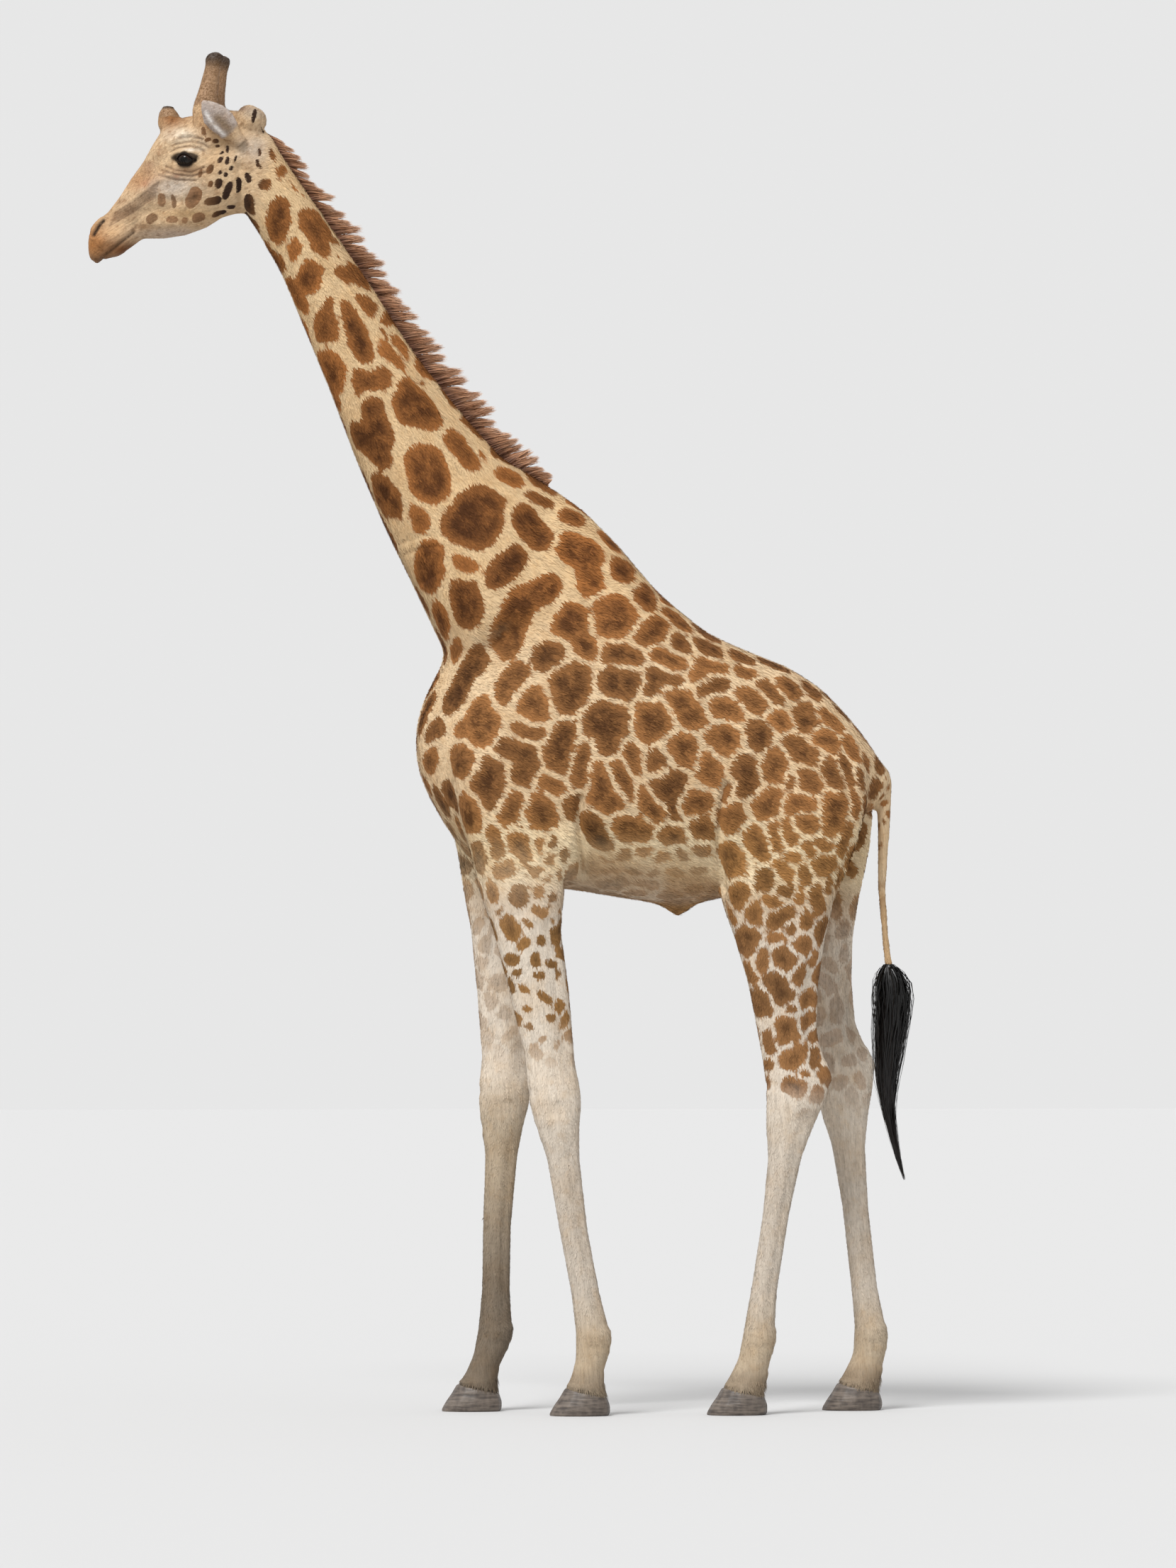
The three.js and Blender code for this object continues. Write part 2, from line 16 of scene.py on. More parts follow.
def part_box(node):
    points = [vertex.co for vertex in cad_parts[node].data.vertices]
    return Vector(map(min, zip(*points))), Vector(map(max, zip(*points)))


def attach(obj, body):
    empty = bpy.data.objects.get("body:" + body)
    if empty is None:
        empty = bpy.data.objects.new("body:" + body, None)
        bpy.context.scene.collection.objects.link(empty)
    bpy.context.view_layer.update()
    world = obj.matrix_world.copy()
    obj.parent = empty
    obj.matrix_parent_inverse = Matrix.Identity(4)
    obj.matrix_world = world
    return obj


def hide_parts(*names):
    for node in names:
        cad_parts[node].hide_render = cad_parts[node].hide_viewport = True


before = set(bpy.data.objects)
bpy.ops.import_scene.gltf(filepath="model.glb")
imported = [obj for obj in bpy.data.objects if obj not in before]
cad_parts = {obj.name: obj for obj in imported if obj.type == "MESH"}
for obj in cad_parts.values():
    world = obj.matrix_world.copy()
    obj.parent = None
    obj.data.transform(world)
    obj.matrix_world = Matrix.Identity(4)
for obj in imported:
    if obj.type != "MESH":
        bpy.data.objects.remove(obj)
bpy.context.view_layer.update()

# ---------- driving dimensions ----------

LEFT, RIGHT = -1, 1
LEGS = ["leg_front_left", "leg_front_right", "leg_hind_left", "leg_hind_right"]
HORNS = ["ossicone_left", "ossicone_right", "ossicone_front"]
EARS = ["ear_left", "ear_right"]
FLESH = ["head", "neck", "trunk", "tail", *EARS, *LEGS]

# The camera, as the photograph was taken.
CAMERA_AZIMUTH = -4.0
CAMERA_DISTANCE = 30.0
CAMERA_HEIGHT = 1.5
CAMERA_TARGET = (0.288, 0.0, 2.072)
VIEW_HEIGHT = 5.17  # what the picture's height takes in, at the target
SENSOR = 36.0
SUN_FROM = (-0.35, -0.6, 0.8)
SUN_SPREAD, SUN_POWER = 22, 3.0
SKY_POWER = 0.8
FLOOR_ALBEDO = 0.53  # under sky and sun it comes out as pale as the sky behind it
FLOOR_HALF = 60

# The head's own axes, before it turns to the animal's right and is lengthened.
HEAD_YAW = np.radians(12)
HEAD_LENGTHEN = 1.026
HEAD_PIVOT = np.array([-0.8018, 0.0, 4.102])
HEAD_ZERO = np.array([-0.8, 0.0, 4.12])  # the pivot in the head's own axes

NAPE = (np.array([-0.794, 0.0, 4.082]), np.array([-0.97, 0.0, 0.24]))
NECK_END = (np.array([-0.038, 0.0, 2.732]), np.array([-0.817, 0.0, 0.577]))
SEAM = (np.array([-0.655, 0.0, 3.915]), np.array([0.54, 0.0, -0.84]))  # fine mesh above it
SEAM_GAP = 0.008

FINE_VOXEL = 0.0036
COARSE_VOXEL = 0.0082
SKIN_TRIANGLES = 188_000
EYE_DETAIL = 0.052  # the skin is divided once more within this distance of an eye
EAR_GROWTH = 0.0015
WELD = 1e-5  # points of a solid closer than this are one

COAT_DEPTH = {"trunk": 0.0045, "neck": 0.004, "leg": 0.003, "head": 0.002, "tail": 0.0015}
SMOOTHING = {"trunk": 0.052, "neck": 0.03, "leg": 0.013, "head": 0.009, "tail": 0.007}
# Below FOOT_TOP the skin keeps its form, and below BARE_TOP it isn't set in.
FOOT_TOP, BARE_TOP, FOOT_SMOOTHING = 0.16, 0.1, 0.006

SEED = 7
rng = np.random.default_rng(SEED)
noise.seed_set(SEED)  # without it, Blender's noise would start from the clock
graph = bpy.context.evaluated_depsgraph_get()
head_tree = BVHTree.FromObject(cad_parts["head"], graph)
ear_trees = {name: BVHTree.FromObject(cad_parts[name], graph) for name in EARS}


# ---------- small helpers ----------


def step(low, high, value):
    """0 below low and 1 above high, with a smooth ramp between. low may be the larger."""
    share = np.clip((value - low) / (high - low), 0, 1)
    return share * share * (3 - 2 * share)


def unit(vectors):
    length = np.linalg.norm(vectors, axis=-1, keepdims=True)
    return vectors / np.maximum(length, 1e-9)


def rgb(hexadecimal):
    """A colour as seen on a screen, in the linear values that shaders take."""
    shown = np.array([int(hexadecimal[i : i + 2], 16) for i in (0, 2, 4)]) / 255
    return np.where(shown <= 0.04045, shown / 12.92, ((shown + 0.055) / 1.055) ** 2.4)


def bell(distance, reach):
    """1 where the distance is 0, and next to nothing at twice the reach."""
    return np.exp(-((distance / reach) ** 2))


def values_of(items, field, width, kind=np.float32):
    """What Blender stores for each item, as rows of an array."""
    flat = np.empty(len(items) * width, kind)
    items.foreach_get(field, flat)
    return flat.reshape(-1, width)


def points_of(mesh):
    return values_of(mesh.vertices, "co", 3).astype(float)


def put_points(mesh, points):
    mesh.vertices.foreach_set("co", points.astype(np.float32).ravel())
    mesh.update()


def normals_of(mesh):
    return values_of(mesh.vertex_normals, "vector", 3).astype(float)


def triangles_of(mesh, field="vertices"):
    mesh.calc_loop_triangles()
    return values_of(mesh.loop_triangles, field, 3, np.int32)


def bmesh_of(mesh):
    bm = bmesh.new()
    bm.from_mesh(mesh)
    return bm


def mesh_from(bm, name):
    mesh = bpy.data.meshes.new(name)
    bm.to_mesh(mesh)
    bm.free()
    return mesh


def new_mesh(name, points, faces):
    """A mesh of triangles from arrays of points and faces."""
    mesh = bpy.data.meshes.new(name)
    mesh.vertices.add(len(points))
    mesh.vertices.foreach_set("co", np.asarray(points, np.float32).ravel())
    mesh.loops.add(faces.size)
    mesh.loops.foreach_set("vertex_index", faces.astype(np.int32).ravel())
    mesh.polygons.add(len(faces))
    mesh.polygons.foreach_set("loop_start", np.arange(0, faces.size, 3, dtype=np.int32))
    mesh.update(calc_edges=True)
    return mesh


def new_object(name, data, *materials):
    piece = bpy.data.objects.new(name, data)
    bpy.context.scene.collection.objects.link(piece)
    for material in materials:
        data.materials.append(material)
    return piece


def shade_smooth(mesh):
    mesh.polygons.foreach_set("use_smooth", np.ones(len(mesh.polygons), bool))
    mesh.update()


def with_modifier(mesh, kind, keep=None, **settings):
    """The mesh as a modifier leaves it. keep may give each point a weight, as a group."""
    holder = new_object("holder", mesh)
    if keep is not None:
        group = holder.vertex_groups.new(name="keep")
        for weight in np.unique(keep):
            group.add(np.flatnonzero(keep == weight).tolist(), float(weight), "REPLACE")
    modifier = holder.modifiers.new(kind, kind)
    for key, value in settings.items():
        setattr(modifier, key, value)
    seen = holder.evaluated_get(bpy.context.evaluated_depsgraph_get())
    made = bpy.data.meshes.new_from_object(seen)
    bpy.data.objects.remove(holder)
    return made


# For each width of a value, what Blender calls its kind and its field.
LAYERS = {1: ("FLOAT", "value"), 3: ("FLOAT_VECTOR", "vector"), 4: ("FLOAT_COLOR", "color")}


def put_value(mesh, name, values):
    """Writes an attribute on the points: a number, a vector or a colour."""
    width = 1 if values.ndim == 1 else values.shape[1]
    kind, field = LAYERS[width]
    layer = mesh.attributes.new(name, kind, "POINT")
    layer.data.foreach_set(field, np.ascontiguousarray(values, np.float32).ravel())


def value_of(mesh, name):
    """An attribute of the points, as rows of its numbers."""
    layer = mesh.attributes[name]
    width = next(width for width, (kind, _) in LAYERS.items() if kind == layer.data_type)
    return values_of(layer.data, LAYERS[width][1], width)


def neighbour_table(mesh):
    """For each point its neighbours, padded with the point itself, and how many are real."""
    a, b = values_of(mesh.edges, "vertices", 2, np.int32).T
    start, end = np.concatenate([a, b]), np.concatenate([b, a])
    order = np.argsort(start, kind="stable")
    start, end = start[order], end[order]
    count = np.bincount(start, minlength=len(mesh.vertices))
    first = np.cumsum(count) - count
    table = np.repeat(np.arange(len(count))[:, None], count.max(), 1)
    table[start, np.arange(len(start)) - first[start]] = end
    return table, np.maximum(count, 1)


def relaxed(points, table, count, passes, share=0.7):
    """Moves each point towards the middle of its neighbours, as often as passes says."""
    points = points.copy()
    for turn in range(int(passes.max())):
        moving = np.flatnonzero(passes > turn)
        around = table[moving]
        own = (around.shape[1] - count[moving])[:, None] * points[moving]
        middle = (points[around].sum(1) - own) / count[moving][:, None]
        points[moving] += share * (middle - points[moving])
    return points


def line_distance(points, line):
    """Distance from points to an open line of straight stretches, in two or three axes."""
    best = np.full(len(points), np.inf)
    for start, end in zip(line[:-1], line[1:]):
        a, d = np.array(start), np.subtract(end, start)
        share = np.clip(((points - a) @ d) / (d @ d), 0, 1)
        best = np.minimum(best, np.linalg.norm(points - a - share[:, None] * d, axis=1))
    return best


def head_axes(points):
    """Points of the frame in the head's own axes, where it faces straight forwards."""
    off = points - HEAD_PIVOT
    c, s = np.cos(HEAD_YAW), np.sin(HEAD_YAW)
    x = (off[:, 0] * c - off[:, 1] * s) / HEAD_LENGTHEN
    y = off[:, 0] * s + off[:, 1] * c
    return np.stack([x, y, off[:, 2]], 1) + HEAD_ZERO


def from_head_axes(points):
    off = np.atleast_2d(points) - HEAD_ZERO
    c, s = np.cos(HEAD_YAW), np.sin(HEAD_YAW)
    x, y = off[:, 0] * HEAD_LENGTHEN, off[:, 1]
    return np.stack([x * c + y * s, -x * s + y * c, off[:, 2]], 1) + HEAD_PIVOT


def camera_place():
    turn = np.radians(CAMERA_AZIMUTH)
    x = CAMERA_TARGET[0] + CAMERA_DISTANCE * np.sin(turn)
    return np.array([x, -CAMERA_DISTANCE * np.cos(turn), CAMERA_HEIGHT])


# ---------- regions of the body ----------


def beyond(plane, points):
    """How far the points lie past a plane, given as a point and a normal."""
    at, normal = plane
    return (points - at) @ (normal / np.linalg.norm(normal))


def tail_column(x, y):
    """1 in the narrow upright space that the tail hangs in."""
    return step(1.19, 1.23, x) * step(0.07, 0.055, np.abs(y))


def region_shares(points):
    """How much each point belongs to each region. The shares add up to 1."""
    x, y, z = points.T
    head = step(-0.06, 0.04, beyond(NAPE, points))
    neck = step(-0.16, 0.16, beyond(NECK_END, points)) * (1 - head)
    rear = step(0.5, 0.55, x)
    top = 1.86 - 0.05 * rear
    tail = tail_column(x, y) * step(2.16, 2.08, z)
    leg = step(top, top - 0.3, z) * step(0.02, 0.06, np.abs(y)) * (1 - tail)
    shares = {"head": head, "neck": neck, "leg": leg, "tail": tail}
    shares["trunk"] = np.clip(1 - head - neck - leg - tail, 0, 1)
    return shares


def by_region(shares, values):
    return sum(shares[name] * value for name, value in values.items())


# ---------- skin: one mesh from the nodes of flesh ----------


def voxel_mesh(nodes, size, grow=0.0):
    """The union of CAD nodes as an even mesh of quads. Ears are thin, so they are grown."""
    bm = bmesh.new()
    for name in nodes:
        part = bmesh_of(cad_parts[name].data)
        bmesh.ops.remove_doubles(part, verts=part.verts, dist=WELD)
        part.normal_update()
        if name in EARS:
            for vert in part.verts:
                vert.co += vert.normal * grow
        bm.from_mesh(mesh_from(part, "copy"))
    return with_modifier(mesh_from(bm, "union"), "REMESH", mode="VOXEL", voxel_size=size)


def trimmed(mesh, at, normal):
    """A bmesh without what lies on the far side of a plane."""
    bm = bmesh_of(mesh)
    everything = bm.verts[:] + bm.edges[:] + bm.faces[:]
    bmesh.ops.bisect_plane(bm, geom=everything, plane_co=at, plane_no=normal, clear_outer=True)
    return bm


def bridged_skin():
    """A fine head and a coarser body, each cut across the neck and joined by a band."""
    at, down = SEAM
    eyes = ["eye_left", "eye_right"]
    fine = voxel_mesh(["head", "neck", *EARS, *HORNS, *eyes], FINE_VOXEL, EAR_GROWTH)
    coarse = voxel_mesh(["neck", "trunk", "tail", *LEGS], COARSE_VOXEL)
    bm = trimmed(fine, at, down)
    lower = trimmed(coarse, at + SEAM_GAP * down, -down)
    bm.from_mesh(mesh_from(lower, "rest"))
    rims = [edge for edge in bm.edges if edge.is_boundary]
    bmesh.ops.bridge_loops(bm, edges=rims)
    near_eyes = [from_head_axes(EYE * (1, side, 1))[0] for side in (LEFT, RIGHT)]
    close = [
        edge
        for edge in bm.edges
        if min((edge.verts[0].co - Vector(eye)).length for eye in near_eyes) < EYE_DETAIL
    ]
    bmesh.ops.subdivide_edges(bm, edges=close, cuts=1, use_grid_fill=True)
    bmesh.ops.recalc_face_normals(bm, faces=bm.faces)
    return mesh_from(bm, "skin")


def smooth_skin(mesh):
    """Rounds the solids' facets off and sets the surface in by the coat's depth."""
    points = points_of(mesh)
    table, count = neighbour_table(mesh)
    gaps = points[table] - points[:, None]
    spacing = np.linalg.norm(gaps, axis=2).sum(1) / count
    shares = region_shares(points)
    reach = by_region(shares, SMOOTHING)
    ears = ear_share(points)
    reach = reach * (1 - 0.6 * ears)
    reach = np.where(points[:, 2] < FOOT_TOP, np.minimum(reach, FOOT_SMOOTHING), reach)
    passes = np.ceil(2 * (reach / np.maximum(spacing, 0.002)) ** 2)
    points = relaxed(points, table, count, passes)
    put_points(mesh, points)
    depth = by_region(shares, COAT_DEPTH) * (1 - 0.75 * ears)
    depth = depth * step(BARE_TOP, FOOT_TOP, points[:, 2])
    points -= normals_of(mesh) * depth[:, None]
    put_points(mesh, points)


def ear_share(points):
    """1 on the free leaf of either ear, fading to 0 where it joins the head."""
    found = np.zeros(len(points))
    for name in EARS:
        low, high = (np.array(corner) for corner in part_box(name))
        near = np.flatnonzero((np.minimum(points - low, high - points) > -0.008).all(1))
        off_head = [head_tree.find_nearest(Vector(point))[3] for point in points[near]]
        off_ear = [ear_trees[name].find_nearest(Vector(point))[3] for point in points[near]]
        leaf = step(0.004, 0.022, np.array(off_head)) * step(0.009, 0.005, np.array(off_ear))
        found[near] = np.maximum(found[near], leaf)
    return found


# ---------- skin: muscles, folds and bones ----------

# Lines in the side view of the body, as (x, z), with the reach across and the rise in metres.
BODY_FORMS = [
    ([(-0.77, 3.95), (-0.61, 3.55), (-0.41, 3.12), (-0.26, 2.76)], 0.032, -0.007),
    ([(-0.68, 4.02), (-0.46, 3.62), (-0.21, 3.2), (0.02, 2.95)], 0.045, 0.004),
    ([(-0.56, 3.88), (-0.33, 3.5), (-0.06, 3.15)], 0.022, -0.004),
    ([(0.15, 2.95), (0.02, 2.64), (-0.12, 2.35)], 0.045, -0.009),
    ([(0.2, 2.95), (0.12, 2.62), (0.0, 2.3)], 0.035, 0.005),
    ([(0.33, 2.76), (0.27, 2.45), (0.25, 2.15)], 0.055, -0.010),
    ([(0.24, 2.02), (0.24, 1.92), (0.25, 1.84), (0.258, 1.77)], 0.014, -0.023),
    ([(0.195, 1.88), (0.208, 1.8)], 0.04, 0.016),
    ([(0.05, 2.1), (0.09, 1.85)], 0.03, -0.005),
    ([(-0.1, 2.2), (-0.02, 1.95), (0.0, 1.75)], 0.035, -0.006),
    ([(0.72, 2.36), (0.69, 2.15), (0.66, 1.98)], 0.07, -0.011),
    ([(0.722, 2.06), (0.706, 1.97), (0.7, 1.84), (0.712, 1.72)], 0.016, -0.02),
    ([(0.77, 2.1), (0.745, 1.9), (0.76, 1.72)], 0.03, 0.010),
    ([(0.92, 2.375), (0.93, 2.37)], 0.045, 0.012),
    ([(0.98, 2.3), (1.03, 2.1)], 0.06, -0.006),
    ([(1.13, 2.18), (1.14, 1.9), (1.1, 1.66)], 0.026, -0.008),
    ([(0.9, 1.95), (0.93, 1.6)], 0.035, -0.005),
    ([(-0.15, 2.5), (-0.21, 2.38), (-0.255, 2.2)], 0.016, -0.006),
    ([(-0.345, 2.86), (-0.27, 2.885), (-0.21, 2.88)], 0.009, -0.004),
    ([(-0.34, 2.82), (-0.27, 2.845), (-0.215, 2.85)], 0.009, -0.004),
    ([(-0.29, 2.72), (-0.22, 2.76)], 0.009, -0.004),
]
RIBS = 7
RIB_TOP, RIB_FOOT, RIB_GAP = (0.34, 2.36), (0.315, 1.94), 0.052
RIB_DROP, RIB_FAN = 0.012, 1.25  # each rib starts lower, and their feet lie further apart
RIB_REACH, RIB_RISE = 0.014, 0.0022

# Forms round a leg: height above the floor at the low and high end, degrees from the front
# round to the back, the reach in degrees, and the rise. The right hind leg's joint lies
# higher than the left one's by HIND_RIGHT_LIFT, and so do the forms above HOCK_HEIGHT.
FORE_FORMS = [
    (0.95, 1.07, 0, 45, 0.005), (1.055, 1.062, 0, 60, -0.004), (0.935, 0.942, 0, 60, -0.003),
    (0.99, 1.02, 88, 30, -0.005), (1.02, 1.07, 178, 34, 0.007), (0.36, 0.86, 118, 17, -0.006),
    (0.4, 0.9, 62, 18, -0.003), (0.24, 0.275, 180, 50, 0.006), (0.245, 0.265, 92, 30, 0.004),
    (0.15, 0.19, 175, 55, -0.006), (1.16, 1.62, 58, 16, -0.005), (1.14, 1.58, 128, 18, -0.007),
    (1.25, 1.55, 92, 26, 0.004),
]
HIND_FORMS = [
    (1.15, 1.42, 138, 19, -0.013), (1.1, 1.15, 180, 30, 0.005), (1.02, 1.13, 92, 28, 0.004),
    (1.075, 1.082, 0, 50, -0.004), (0.36, 0.95, 116, 17, -0.006), (0.42, 0.92, 60, 18, -0.003),
    (0.24, 0.275, 180, 50, 0.006), (0.245, 0.265, 92, 30, 0.004), (0.15, 0.19, 175, 55, -0.006),
    (1.2, 1.5, 62, 22, -0.006), (1.22, 1.5, 100, 24, 0.004),
]
HIND_RIGHT_LIFT, HOCK_HEIGHT = 0.043, 0.9

# Lines in the side view of the head, in its own axes.
HEAD_FORMS = [
    ([(-1.19, 4.035), (-1.11, 4.075), (-1.035, 4.1)], 0.017, 0.006),
    ([(-1.275, 3.975), (-1.2, 4.035), (-1.13, 4.12)], 0.024, -0.009),
    ([(-1.065, 4.2), (-1.02, 4.226), (-0.965, 4.215), (-0.94, 4.19)], 0.014, 0.009),
    ([(-1.105, 4.16), (-1.08, 4.2)], 0.014, 0.005),
    ([(-0.925, 4.225), (-0.912, 4.17)], 0.03, -0.010),
    ([(-1.05, 4.05), (-1.075, 3.98)], 0.022, -0.008),
    ([(-0.955, 4.08), (-0.93, 4.02)], 0.05, 0.008),
    ([(-1.17, 3.975), (-1.08, 3.972)], 0.018, -0.006),
    ([(-1.17, 3.935), (-1.04, 3.93), (-0.94, 3.962)], 0.013, 0.005),
    ([(-0.855, 3.95), (-0.84, 4.03), (-0.845, 4.11)], 0.015, -0.012),
    ([(-1.195, 3.9), (-1.185, 3.935)], 0.01, -0.005),
    ([(-1.305, 3.872), (-1.262, 3.89), (-1.225, 3.914)], 0.012, 0.004),
    ([(-1.285, 3.825), (-1.245, 3.848)], 0.012, 0.005),
    ([(-1.31, 3.958), (-1.345, 3.9)], 0.009, 0.004),
    ([(-1.135, 4.02), (-1.05, 4.0), (-0.99, 4.01)], 0.012, -0.004),
]
LID_FOLDS = [
    [(-1.068, 4.168), (-1.04, 4.18), (-1.0, 4.184), (-0.958, 4.168)],
    [(-1.052, 4.19), (-1.01, 4.199), (-0.965, 4.192), (-0.945, 4.178)],
    [(-1.045, 4.212), (-1.0, 4.214), (-0.962, 4.206)],
    [(-1.082, 4.118), (-1.05, 4.104), (-1.0, 4.098), (-0.957, 4.112)],
    [(-1.098, 4.106), (-1.05, 4.09), (-0.998, 4.084), (-0.952, 4.097)],
    [(-1.108, 4.09), (-1.05, 4.073), (-0.985, 4.07)],
]
KNOB_RISE, KNOB_AT, KNOB_REACH = 0.0045, 0.86, 0.13  # at and reach: shares of a horn's height
FOLD_REACH, FOLD_RISE = 0.0042, -0.0048
MUZZLE_CREASE = [(-1.268, 3.95), (-1.2, 3.988), (-1.115, 4.044)]
MUZZLE_CREASES = 5
MUZZLE_CREASE_GAP = 0.0105
CREASE_REACH, CREASE_RISE = 0.0036, -0.0036
MOUTH = [
    (-1.318, 3.806), (-1.3, 3.829), (-1.28, 3.842), (-1.254, 3.861), (-1.225, 3.884),
    (-1.198, 3.906),
]
MOUTH_REACH, MOUTH_RISE = 0.004, -0.008
LIP_AT, LIP_REACH, LIP_RISE = 0.011, 0.006, 0.002
NOSTRIL = [(-1.298, 3.946), (-1.308, 3.936), (-1.316, 3.922), (-1.328, 3.9)]
NOSTRIL_REACH, NOSTRIL_RISE, NOSTRIL_FLARE = 0.005, -0.010, 0.0025
NOSTRIL_RIM_AT, NOSTRIL_RIM_RISE = 0.013, 0.003
SLICE, SLICES = 0.02, 100  # a leg is measured in slices of this height


def muzzle_creases():
    """The folds of the muzzle, side by side."""
    shifts = MUZZLE_CREASE_GAP * (np.arange(MUZZLE_CREASES) - 2)
    return [[(x + 0.3 * shift, z + shift) for x, z in MUZZLE_CREASE] for shift in shifts]


def leg_axes(points, name):
    """Each point's degrees round a leg, from its front, and how much the point is its own."""
    x, y, z = points.T
    side = RIGHT if "right" in name else LEFT
    rear = "hind" in name
    own = step(0.0, 0.03, y * side) * (step(0.5, 0.56, x) if rear else step(0.56, 0.5, x))
    own = own * step(1.84, 1.7, z)
    if rear:
        own = own * (1 - tail_column(x, y))
    mine = np.flatnonzero(own > 0)
    slot = np.clip((z[mine] / SLICE).astype(int), 0, SLICES - 1)
    low = np.full((SLICES, 2), np.inf)
    high = np.full((SLICES, 2), -np.inf)
    np.minimum.at(low, slot, points[mine, :2])
    np.maximum.at(high, slot, points[mine, :2])
    kept = np.isfinite(low[:, 0])
    heights = (np.arange(SLICES)[kept] + 0.5) * SLICE
    middle, half = (low[kept] + high[kept]) / 2, (high[kept] - low[kept]) / 2
    cx, cy = (np.interp(z, heights, middle[:, k]) for k in (0, 1))
    rx, ry = (np.interp(z, heights, half[:, k]) for k in (0, 1))
    return np.degrees(np.arctan2(np.abs(y - cy) / ry, (cx - x) / rx)), own


def rise_of_legs(points):
    rise = np.zeros(len(points))
    z = points[:, 2]
    for name in LEGS:
        degrees, own = leg_axes(points, name)
        forms = HIND_FORMS if "hind" in name else FORE_FORMS
        lift = HIND_RIGHT_LIFT if name == "leg_hind_right" else 0
        for low, high, angle, reach, height in forms:
            raised = lift * (low > HOCK_HEIGHT)
            over = z - np.clip(z, low + raised, high + raised)
            ends = 0.012 if high - low < 0.05 else 0.05
            across = (degrees - angle) / reach
            rise += own * height * np.exp(-((over / ends) ** 2) - across**2)
    return rise


def rise_of_body(points, normals):
    flat = points[:, [0, 2]]
    shares = region_shares(points)
    sideways = step(0.15, 0.5, np.abs(normals[:, 1])) * (1 - shares["head"])
    rise = np.zeros(len(points))
    for line, reach, height in BODY_FORMS:
        rise += height * bell(line_distance(flat, line), reach)
    for i in range(RIBS):
        top = (RIB_TOP[0] + RIB_GAP * i, RIB_TOP[1] - RIB_DROP * i)
        foot = (RIB_FOOT[0] + RIB_FAN * RIB_GAP * i, RIB_FOOT[1])
        rise += RIB_RISE * bell(line_distance(flat, [top, foot]), RIB_REACH)
    return rise * sideways


def rise_of_head(points, normals):
    own = head_axes(points)
    flat = own[:, [0, 2]]
    share = region_shares(points)["head"] * (1 - ear_share(points))
    sideways = step(0.1, 0.45, np.abs(normals[:, 1]))
    rise = np.zeros(len(points))
    forms = HEAD_FORMS + [(line, FOLD_REACH, FOLD_RISE) for line in LID_FOLDS]
    forms += [(line, CREASE_REACH, CREASE_RISE) for line in muzzle_creases()]
    for line, reach, height in forms:
        rise += sideways * height * bell(line_distance(flat, line), reach)
    mouth = line_distance(flat, MOUTH)
    rise += MOUTH_RISE * bell(mouth, MOUTH_REACH)
    rise += LIP_RISE * bell(mouth - LIP_AT, LIP_REACH)
    nostril = line_distance(flat, NOSTRIL) - NOSTRIL_FLARE * step(3.945, 3.905, own[:, 2])
    rise += sideways * NOSTRIL_RISE * bell(nostril, NOSTRIL_REACH)
    rise += sideways * NOSTRIL_RIM_RISE * bell(nostril - NOSTRIL_RIM_AT, NOSTRIL_REACH)
    horn, height = horn_share(points)
    rise += KNOB_RISE * horn * bell(height - KNOB_AT, KNOB_REACH)
    return rise * share


# ---------- skin: the eye's opening ----------

EYE = np.array([-1.016, 0.093, 4.138])
EYE_RADIUS = 0.029
LID_THICK = 0.0032
LID_REACH = 0.02  # how far round the eye the skin is drawn over the ball
OPEN_HALF, OPEN_UP, OPEN_DOWN = 0.0282, 0.0165, 0.0185
OPEN_SLANT = -0.04  # the rear corner lies a little lower
UPPER_CURVE, LOWER_CURVE = 3, 1.9  # the larger, the squarer the lid's edge
LOWER_LEAN = 9  # moves the lower lid's lowest point back
EYE_ZONE, EYE_ZONE_DEPTH = 0.06, 0.02  # the skin that is looked at round each eye
# Dark skin along the upper lid, from before the eye to behind it, with painted shadow under the lid
# and its lashes.
DARK_LID_AND_SHADOW = [(-1.058, 4.146), (-1.042, 4.154), (-1.0, 4.154), (-0.982, 4.147)]
HIDDEN = 0.008  # how deep the skin lies under the ball inside the opening
LID_SNAP = 0.0013  # points this near to the opening's edge are moved onto it
LID_SKIN = 0.012  # the skin this near to the opening is finer and bears no patch


def eye_turn(side):
    """Axes of one eye in the head's own axes: back along the head, up, and outwards."""
    out = unit(np.array([-0.12, side * 1.0, 0.04]))
    back = unit(np.cross(out, [0, 0, 1.0]) * -side)
    up = np.cross(back, out) * side
    return back, up, out


def opening(u):
    """Upper and lower edge of the eye's opening, at a place along it."""
    share = np.clip(np.abs(u) / OPEN_HALF, 0, 1)
    lean = OPEN_SLANT * u
    upper = lean + OPEN_UP * (1 - share**UPPER_CURVE)
    lower = lean - OPEN_DOWN * (1 - share**LOWER_CURVE) * (1 + LOWER_LEAN * u)
    return upper, lower


